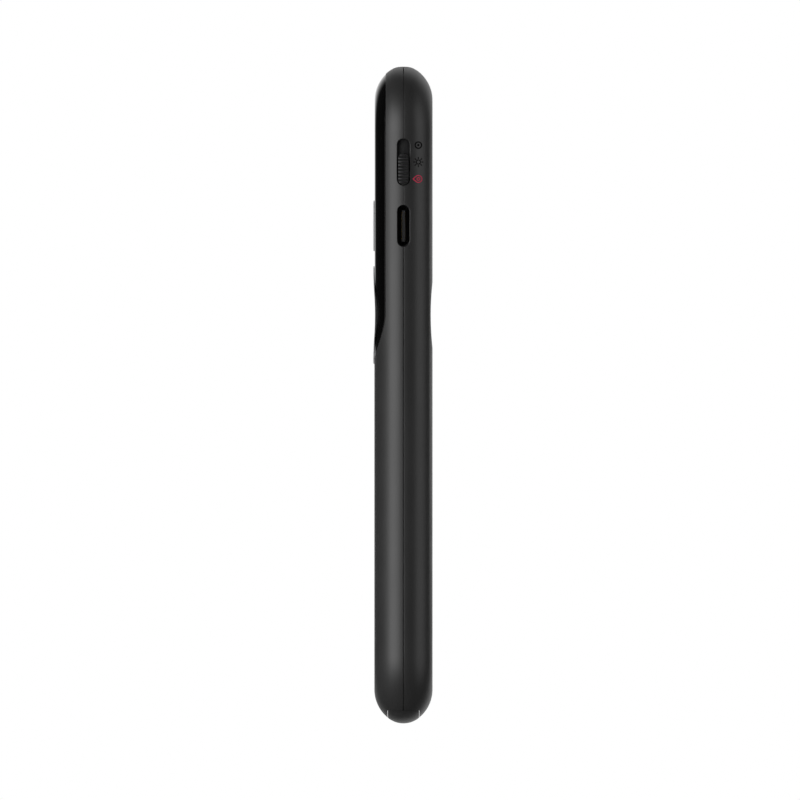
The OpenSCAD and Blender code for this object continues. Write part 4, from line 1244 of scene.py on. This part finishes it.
def make_port():
    """The charging port's metal shell, with a rolled lip at its mouth."""
    tools = []
    for grow, way in ((0.0, 1), (PORT_WALL, -1)):
        outline = side_outline(PORT_MOUTH_LENGTH + 2 * grow, PORT_MOUTH_WIDTH + 2 * grow, PORT_Y)
        path = [(PORT_MOUTH_X, b, MID + a) for a, b in outline]
        second = [(0, way * b, way * a) for a, b in inward(outline)]
        tools.append(edge_cutter(path, (1, 0, 0), second, EDGE_ROUND))
    piece = shape(from_node("usb_port_shell"), *cut(*tools))
    shade(piece)
    finish_piece(piece, "port_shell", "housing", "steel", "usb_port_shell", material=PORT_STEEL)


make_shells()
make_window()
make_buttons()
make_chevrons()
make_slider()
make_cap()
make_port()


# ------------------------------ prints, in mm

MARK_Z = MID - 3.18
MARK_PITCH = 3.6
PRINT_RISE = 0.012
PRINT_DEPTH = 0.03
SKIN_HALF = 2.0
SKIN_STEPS = 24
SPOT_RADIUS, SPOT_LINE, SPOT_DOT = 0.8, 0.25, 0.23
SUN_RADIUS, SUN_LINE, SUN_REACH = 0.54, 0.2, 1.07
BEAM_RADIUS, BEAM_LINE, BEAM_REACH = 0.82, 0.15, 1.24
BEAM_RING, BEAM_RING_LINE = 0.36, 0.9 * BEAM_LINE


def stamp(outline, y):
    """A prism through the +X side, from an outline in Z and Y about a mark's middle."""
    placed = [(MARK_Z + a, y + b) for a, b in outline]
    return extrude(placed, HALF_WIDTH / 2, HALF_WIDTH + PAST, axes=(2, 1, 0))


def skin(low, high):
    """A thin curved slab in the +X side's surface between two places along the body."""
    heights = np.linspace(MARK_Z - SKIN_HALF, MARK_Z + SKIN_HALF, SKIN_STEPS)
    rows = []
    for y in np.linspace(low, high, SKIN_STEPS):
        points = [(0.0, y, z) for z in heights]
        outer = land(points, (-1, 0, 0), body_form(-PRINT_RISE))
        inner = land(points, (-1, 0, 0), body_form(PRINT_DEPTH))
        rows.append(np.concatenate([outer, inner[::-1]]))
    return loft(rows)


def ring(radius, line, y):
    """Steps that draw a ring."""
    return join(stamp(circle(radius), y)) + cut(stamp(circle(radius - line), y))


def ray(turn, y):
    """A prism of one ray of the sun."""
    half = SUN_LINE / 2
    start = SUN_RADIUS + half
    corners = [(start, -half), (SUN_REACH, -half), (SUN_REACH, half), (start, half)]
    cos, sin = math.cos(turn), math.sin(turn)
    return stamp([(a * cos - b * sin, a * sin + b * cos) for a, b in corners], y)


def beam(scale, y):
    """A prism of a disc drawn out to a point, the way a beam leaves a lamp."""
    turn = math.degrees(math.acos(BEAM_RADIUS / BEAM_REACH))
    outline = arc((0, 0), scale * BEAM_RADIUS, turn, 360 - turn, 60) + [(scale * BEAM_REACH, 0)]
    return stamp(outline, y)


def make_prints():
    """The pictograms beside the slider: a spotlight, a glare of light, and a laser beam in red."""
    spot_y, sun_y, beam_y = SLOT_Y + MARK_PITCH, SLOT_Y, SLOT_Y - MARK_PITCH
    steps = cut(stamp(circle(SPOT_RADIUS - SPOT_LINE), spot_y)) + join(stamp(circle(SPOT_DOT), spot_y))
    steps += ring(SUN_RADIUS, SUN_LINE, sun_y)
    steps += join(*(ray(math.pi * i / 4, sun_y) for i in range(8)))
    steps += meet(skin(sun_y - MARK_PITCH / 2, spot_y + MARK_PITCH / 2))
    modes = shape(stamp(circle(SPOT_RADIUS), spot_y), *steps)
    steps = cut(beam(1 - BEAM_LINE / BEAM_RADIUS, beam_y)) + ring(BEAM_RING, BEAM_RING_LINE, beam_y)
    steps += meet(skin(beam_y - MARK_PITCH / 2, beam_y + MARK_PITCH / 2))
    laser = shape(beam(1.0, beam_y), *steps)
    for piece, name, slot, node in ((modes, "mode_prints", "print_black", "mode_marks"),
                                    (laser, "laser_print", "print_red", "laser_mark")):
        shade(piece, body_form(-PRINT_RISE))
        finish_piece(piece, name, "housing", slot, node)


make_prints()
